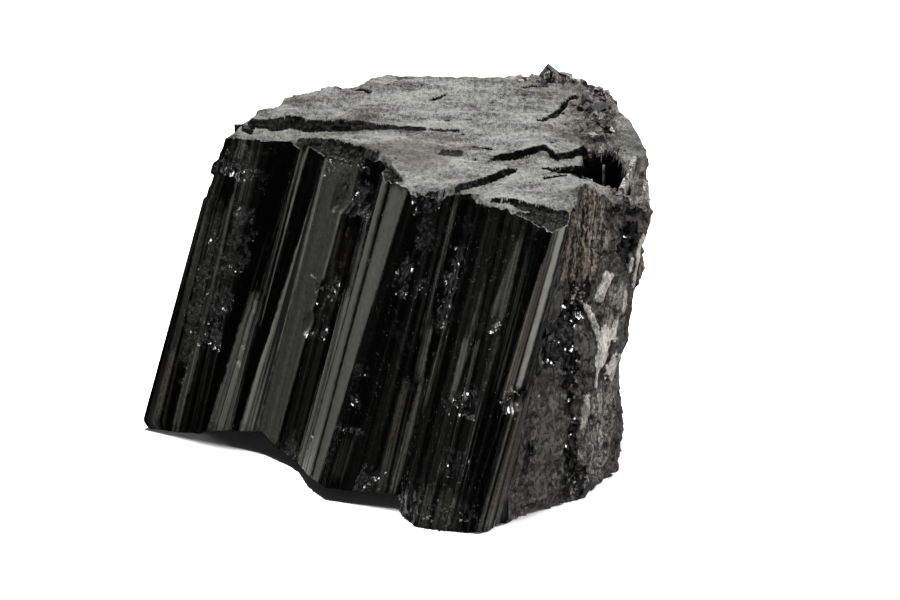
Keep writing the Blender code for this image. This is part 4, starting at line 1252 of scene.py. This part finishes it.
def fracture_material(settings):
    """Matt grey fracture across the crystals: fine light grain, dark specks and faint streaks, with
    painted shade on the slopes and in the scoop, pits, rubble seams, risers and cracks.
    """
    finish = Finish("fracture", gloss=0.04)
    size = settings.grain_size / MM
    grain = finish.grain(size, (1.1, 1.7, 1.0))
    fine = finish.grain(0.3 * size, (1.0, 1.7, 1.0))
    streaks = finish.grain(3.0 * size, (5.0, 1.0, 1.0))["Shade"]
    wide = finish.grain(8.0 * size, (2.4, 1.0, 1.0))["Shade"]
    specks = finish.grain(0.34 * size, (1.8, 1.4, 1.0))["Pits"]
    hackle = finish.hackle(0.7)
    flaky = finish.hackle(0.9, (2.6, 1.0, 1.0))
    rubble = finish.mask("rubble", 1.5, grain["Shade"])
    sloped = finish.mask("sloped", 2.5, grain["Shade"])
    green_rim_and_scoop_shade = finish.mask("smooth_grey")
    fracture = Vector(settings.fracture_color)
    stain = Vector(settings.stain_color)
    tone = blended_tone(0.5, (grain["Shade"], 1.9), (fine["Shade"], 2.5), (streaks, 1.0),
                        (wide, 2.2), (flaky["Shade"], 0.16)).clamped()
    color = mixed_color(tone, 0.12 * fracture, 2.0 * fracture)
    color = mixed_color(finish.mask("brown") * 0.7, color, 0.35 * fracture + 0.2 * stain)
    color = mixed_color(((0.46 - wide) * 3.0).clamped(), color, 0.8 * stain)
    # Painted shade: the slopes, the first ledge's riser and the scoop are painted darker, and the dent
    # with them.
    slope_shade = mixed_color(hackle["Shade"], 0.04 * fracture, 0.42 * fracture)
    color = mixed_color(sloped * 0.85, color, slope_shade)
    crumbs = mixed_color(tone, (0.004, 0.004, 0.003), 1.2 * stain + 0.9 * fracture)
    color = mixed_color(rubble * (hackle["Shade"] * 0.8 + 0.2), color, crumbs)
    # The grey-green rim keeps its own colour; the scoop, which shares its mask, is painted darker as
    # shade.
    smooth = mixed_color(tone, (0.020, 0.021, 0.017), (0.042, 0.043, 0.035))
    smooth = mixed_color(sloped, smooth, 0.12 * fracture)
    color = mixed_color(green_rim_and_scoop_shade * 0.9, color, smooth)
    # Painted shade: risers, cracks, pits and the seams in the rubble are painted near black; the specks
    # are small dark marks.
    dark = specks * ((0.62 - streaks) * 5.0).clamped()
    dark = maths("MAXIMUM", dark, grain["Pits"] * 0.75) * (1.0 - green_rim_and_scoop_shade)
    dark = maths("MAXIMUM", dark, hackle["Seams"] * rubble * 0.75)
    dark = maths("MAXIMUM", dark, finish.mask("riser", 3.0, grain["Shade"])).clamped()
    color = mixed_color(dark, color, settings.prism_color)
    even = green_rim_and_scoop_shade * -0.85 + 0.9
    return finish.completed(color, tone * -0.2 + 0.65, (
        grain["Relief"] * 0.30 * even, fine["Relief"] * 0.45 * even,
        hackle["Relief"] * 0.18 * even, flaky["Relief"] * 0.12 * even))


def crevice_shade_material(settings):
    """Painted shade in the cracks, on the ledge risers, in the pocket and wedge and on the steeper
    slopes: near black and almost without gloss, with a little dust.
    """
    finish = Finish("crevice_shade", gloss=0.01)
    hackle = finish.hackle(0.7, (1.6, 1.0, 0.8))
    grain = finish.grain(0.4)["Shade"]
    dusty = (hackle["Shade"] * 0.7 + (grain - 0.5) * 2.0) * (1.0 - hackle["Seams"])
    dusty = (dusty * (finish.mask("sloped") * 0.42 + 0.03)).clamped()
    color = mixed_color(dusty, settings.prism_color, settings.fracture_color)
    return finish.completed(color, grain * 0.3 + 0.15, (hackle["Relief"] * 0.7,))


def weathered_material(settings):
    """The broken side: brown stain, pale flakes, black glassy lumps and smooth dull grey, with painted
    shade in its pits and seams.
    """
    finish = Finish("weathered_side", gloss=0.2)
    plain = finish.mask("glint") * -0.7 + 1.0
    grain = finish.grain(0.28, (1.0, 1.0, 2.2))
    coarse = finish.grain(1.5, (1.0, 1.0, 3.0))
    hackle = finish.hackle(0.5, (1.0, 1.0, 1.8))
    ridges = finish.lines(coarse["Shade"] * 3.0 + finish.mask("across"), 0.26, 0.12)
    flake = finish.mask("flake", 4.0, grain["Shade"])
    glassy = finish.mask("glassy", 2.5, coarse["Shade"])
    smooth = finish.mask("smooth_grey", 2.0, coarse["Shade"])
    brown = finish.mask("brown")
    rings = maths("SINE", finish.mask("swirl") * (math.tau / SWIRL[3]))
    tone = blended_tone(ridges["Streak"] * brown * 3.0 + 0.42, (grain["Shade"], 3.6),
                        (coarse["Shade"], 2.3), (hackle["Shade"], 0.8))
    tone = (rings * 0.25 + tone).clamped()
    pale = Vector(settings.flake_color)
    stain = Vector(settings.stain_color)
    color = mixed_color(tone, (0.003, 0.003, 0.003), (0.066, 0.062, 0.056))
    for mask, low, high in (
            (brown, 0.04 * stain, 2.6 * stain),
            (finish.mask("greige") * 0.9, 0.03 * pale, 0.72 * pale),
            (smooth * 0.85, (0.004, 0.004, 0.003), (0.044, 0.042, 0.038)),
            (glassy * 0.97, (0.0015, 0.0015, 0.0020), (0.006, 0.006, 0.008)),
            (flake, 0.45 * pale, 1.2 * pale)):
        color = mixed_color(mask, color, mixed_color(tone, low, high))
    # Painted shade: the pits and the seams between the cells are painted near black, less in the brown
    # stain.
    pits = maths("MAXIMUM", maths("MAXIMUM", grain["Pits"], coarse["Pits"]),
                 hackle["Seams"] * (brown * -0.7 + 0.8))
    pits = (pits * (0.95 - maths("MAXIMUM", flake, smooth))).clamped()
    color = mixed_color(pits, color, settings.prism_color)
    rough = ((glassy * -0.48 + 0.62) * (plain * 0.8 + 0.2)).clamped()
    keep = (smooth * -0.7 + 1.0) * plain
    return finish.completed(color, rough, (
        coarse["Relief"] * 0.5 * keep, grain["Relief"] * 0.7 * keep,
        hackle["Relief"] * 0.7 * keep, ridges["Relief"] * 0.8 * keep))


# ---------------------------------------------------------------- the studio


def floor_object(studio):
    """A large plain floor just below the stone, which neither mirrors nor brightens it."""
    material = bpy.data.materials.new("floor")
    material.use_nodes = True
    shader = material.node_tree.nodes["Principled BSDF"]
    shader.inputs["Base Color"].default_value = (*studio.floor_color, 1.0)
    shader.inputs["Roughness"].default_value = 0.9
    mesh = bpy.data.meshes.new("floor")
    corners = [(x * FLOOR_REACH, y * FLOOR_REACH, FLOOR_HEIGHT)
               for x, y in ((-1, -1), (1, -1), (1, 1), (-1, 1))]
    mesh.from_pydata(corners, [], [(0, 1, 2, 3)])
    mesh.materials.append(material)
    floor = bpy.data.objects.new("floor", mesh)
    bpy.context.scene.collection.objects.link(floor)
    floor.visible_glossy = False
    floor.visible_diffuse = False
    return floor


def area_light(name, place, size, power, lit):
    """A square soft light toward the stone, for the objects of the collection lit only."""
    light = bpy.data.lights.new(name, "AREA")
    light.shape = "SQUARE"
    light.size = size
    light.energy = power
    lamp = bpy.data.objects.new(name, light)
    lamp.location = place
    lamp.rotation_euler = (LIGHT_TARGET - Vector(place)).to_track_quat("-Z", "Y").to_euler()
    lamp.light_linking.receiver_collection = lit
    lamp.visible_camera = False
    bpy.context.scene.collection.objects.link(lamp)


def named_collection(name):
    """The collection of that name, which is made when it is first asked for."""
    return bpy.data.collections.get(name) or bpy.data.collections.new(name)


def studio_world():
    """A bright sweep behind the stone, a soft ceiling, and a dark room in front of it."""
    world = bpy.data.worlds.new("studio")
    bpy.context.scene.world = world
    world.use_nodes = True
    tree = world.node_tree
    background = tree.nodes["Background"]
    background.inputs["Color"].default_value = (1.0, 1.0, 1.0, 1.0)
    direction = Signal(tree.nodes.new("ShaderNodeTexCoord").outputs["Generated"])
    strength = DARK_ROOM
    for axis, low, high, brightness in WORLD_SIDES:
        ramp = add_node(tree, "ShaderNodeMapRange", interpolation_type="SMOOTHSTEP",
                        Value=vector_part(direction, axis), From_Min=low, From_Max=high,
                        To_Max=brightness)
        strength = Signal(ramp.outputs[0]) + strength
    seen = Signal(tree.nodes.new("ShaderNodeLightPath").outputs["Is Camera Ray"])
    chosen = tree.nodes.new("ShaderNodeMix")
    for number, value in ((0, seen), (2, strength), (3, 1.0)):
        plug(value, chosen.inputs[number])
    plug(Signal(chosen.outputs[0]), background.inputs["Strength"])
    world.cycles_visibility.diffuse = False


def camera_object(studio):
    """The camera in front of the stone, which looks down on it."""
    data = bpy.data.cameras.new("camera")
    data.lens = studio.camera_lens
    data.sensor_width = 36.0
    data.clip_start = 0.01
    data.clip_end = 20.0
    camera = bpy.data.objects.new("camera", data)
    back = toward_camera(studio.camera_elevation)
    camera.location = CAMERA_TARGET * MM + back * studio.camera_distance
    camera.rotation_euler = (-back).to_track_quat("-Z", "Y").to_euler()
    bpy.context.scene.collection.objects.link(camera)
    bpy.context.scene.camera = camera


# ---------------------------------------------------------------- operators and panel


class TOURMALINE_OT_add_stone(bpy.types.Operator):
    """Build the stone with its ribs, fractures and finishes"""

    bl_idname = "tourmaline.add_stone"
    bl_label = "Tourmaline stone"
    bl_options = {"REGISTER", "UNDO"}

    def execute(self, context):
        stone = stone_object(context.scene.tourmaline_stone)
        named_collection("lit_stone").objects.link(stone)
        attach(stone, "root")
        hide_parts("tourmaline")
        return {"FINISHED"}


class TOURMALINE_OT_set_stage(bpy.types.Operator):
    """Lay the floor and set the lights and the camera"""

    bl_idname = "tourmaline.set_stage"
    bl_label = "Floor, lights and camera"
    bl_options = {"REGISTER", "UNDO"}

    def execute(self, context):
        studio = context.scene.tourmaline_studio
        floor = floor_object(studio)
        studio_world()
        stone_only = named_collection("lit_stone")
        floor_only = named_collection("lit_floor")
        floor_only.objects.link(floor)
        for name, place, size, power, lit in (
                ("wash", (-0.02, 0.03, 1.2), 0.06, studio.wash_power, floor_only),
                ("side_wash", (0.8, 0.35, 0.6), 0.2, 0.7 * studio.wash_power, floor_only),
                ("low_wash", (-0.2, -1.0, 0.5), 0.5, 0.01 * studio.wash_power, floor_only),
                ("ceiling", (0.0, 0.30, 1.1), 0.5, studio.ceiling_power, stone_only),
                ("front", (-0.5, -0.9, 0.5), 0.35, studio.front_power, stone_only),
                ("right", RIGHT_PLACE, 0.4, studio.right_power, stone_only),
                ("back", (0.2, 1.0, 0.5), 0.5, studio.back_power, stone_only),
                ("left", (-1.0, 0.5, 0.5), 0.5, 0.5 * studio.back_power, stone_only),
                ("key", KEY_PLACE, 0.08, studio.key_power, stone_only)):
            area_light(name, place, size, power, lit)
        camera_object(studio)
        context.scene.view_settings.view_transform = "Standard"
        return {"FINISHED"}


class TOURMALINE_PT_panel(bpy.types.Panel):
    """Lists the steps that build the specimen"""

    bl_idname = "TOURMALINE_PT_panel"
    bl_label = "Black tourmaline"
    bl_space_type = "VIEW_3D"
    bl_region_type = "UI"
    bl_category = "Tourmaline"

    def draw(self, context):
        layout = self.layout
        for settings, operator in ((context.scene.tourmaline_stone, TOURMALINE_OT_add_stone),
                                   (context.scene.tourmaline_studio, TOURMALINE_OT_set_stage)):
            box = layout.box()
            for name in settings.__annotations__:
                box.prop(settings, name)
            box.operator(operator.bl_idname)


CLASSES = (StoneSettings, StudioSettings, TOURMALINE_OT_add_stone, TOURMALINE_OT_set_stage,
           TOURMALINE_PT_panel)


def register():
    for each in CLASSES:
        bpy.utils.register_class(each)
    bpy.types.Scene.tourmaline_stone = bpy.props.PointerProperty(type=StoneSettings)
    bpy.types.Scene.tourmaline_studio = bpy.props.PointerProperty(type=StudioSettings)


def unregister():
    del bpy.types.Scene.tourmaline_studio
    del bpy.types.Scene.tourmaline_stone
    for each in reversed(CLASSES):
        bpy.utils.unregister_class(each)


def main():
    register()
    bpy.ops.tourmaline.set_stage()
    bpy.ops.tourmaline.add_stone()


if __name__ == "__main__":
    main()
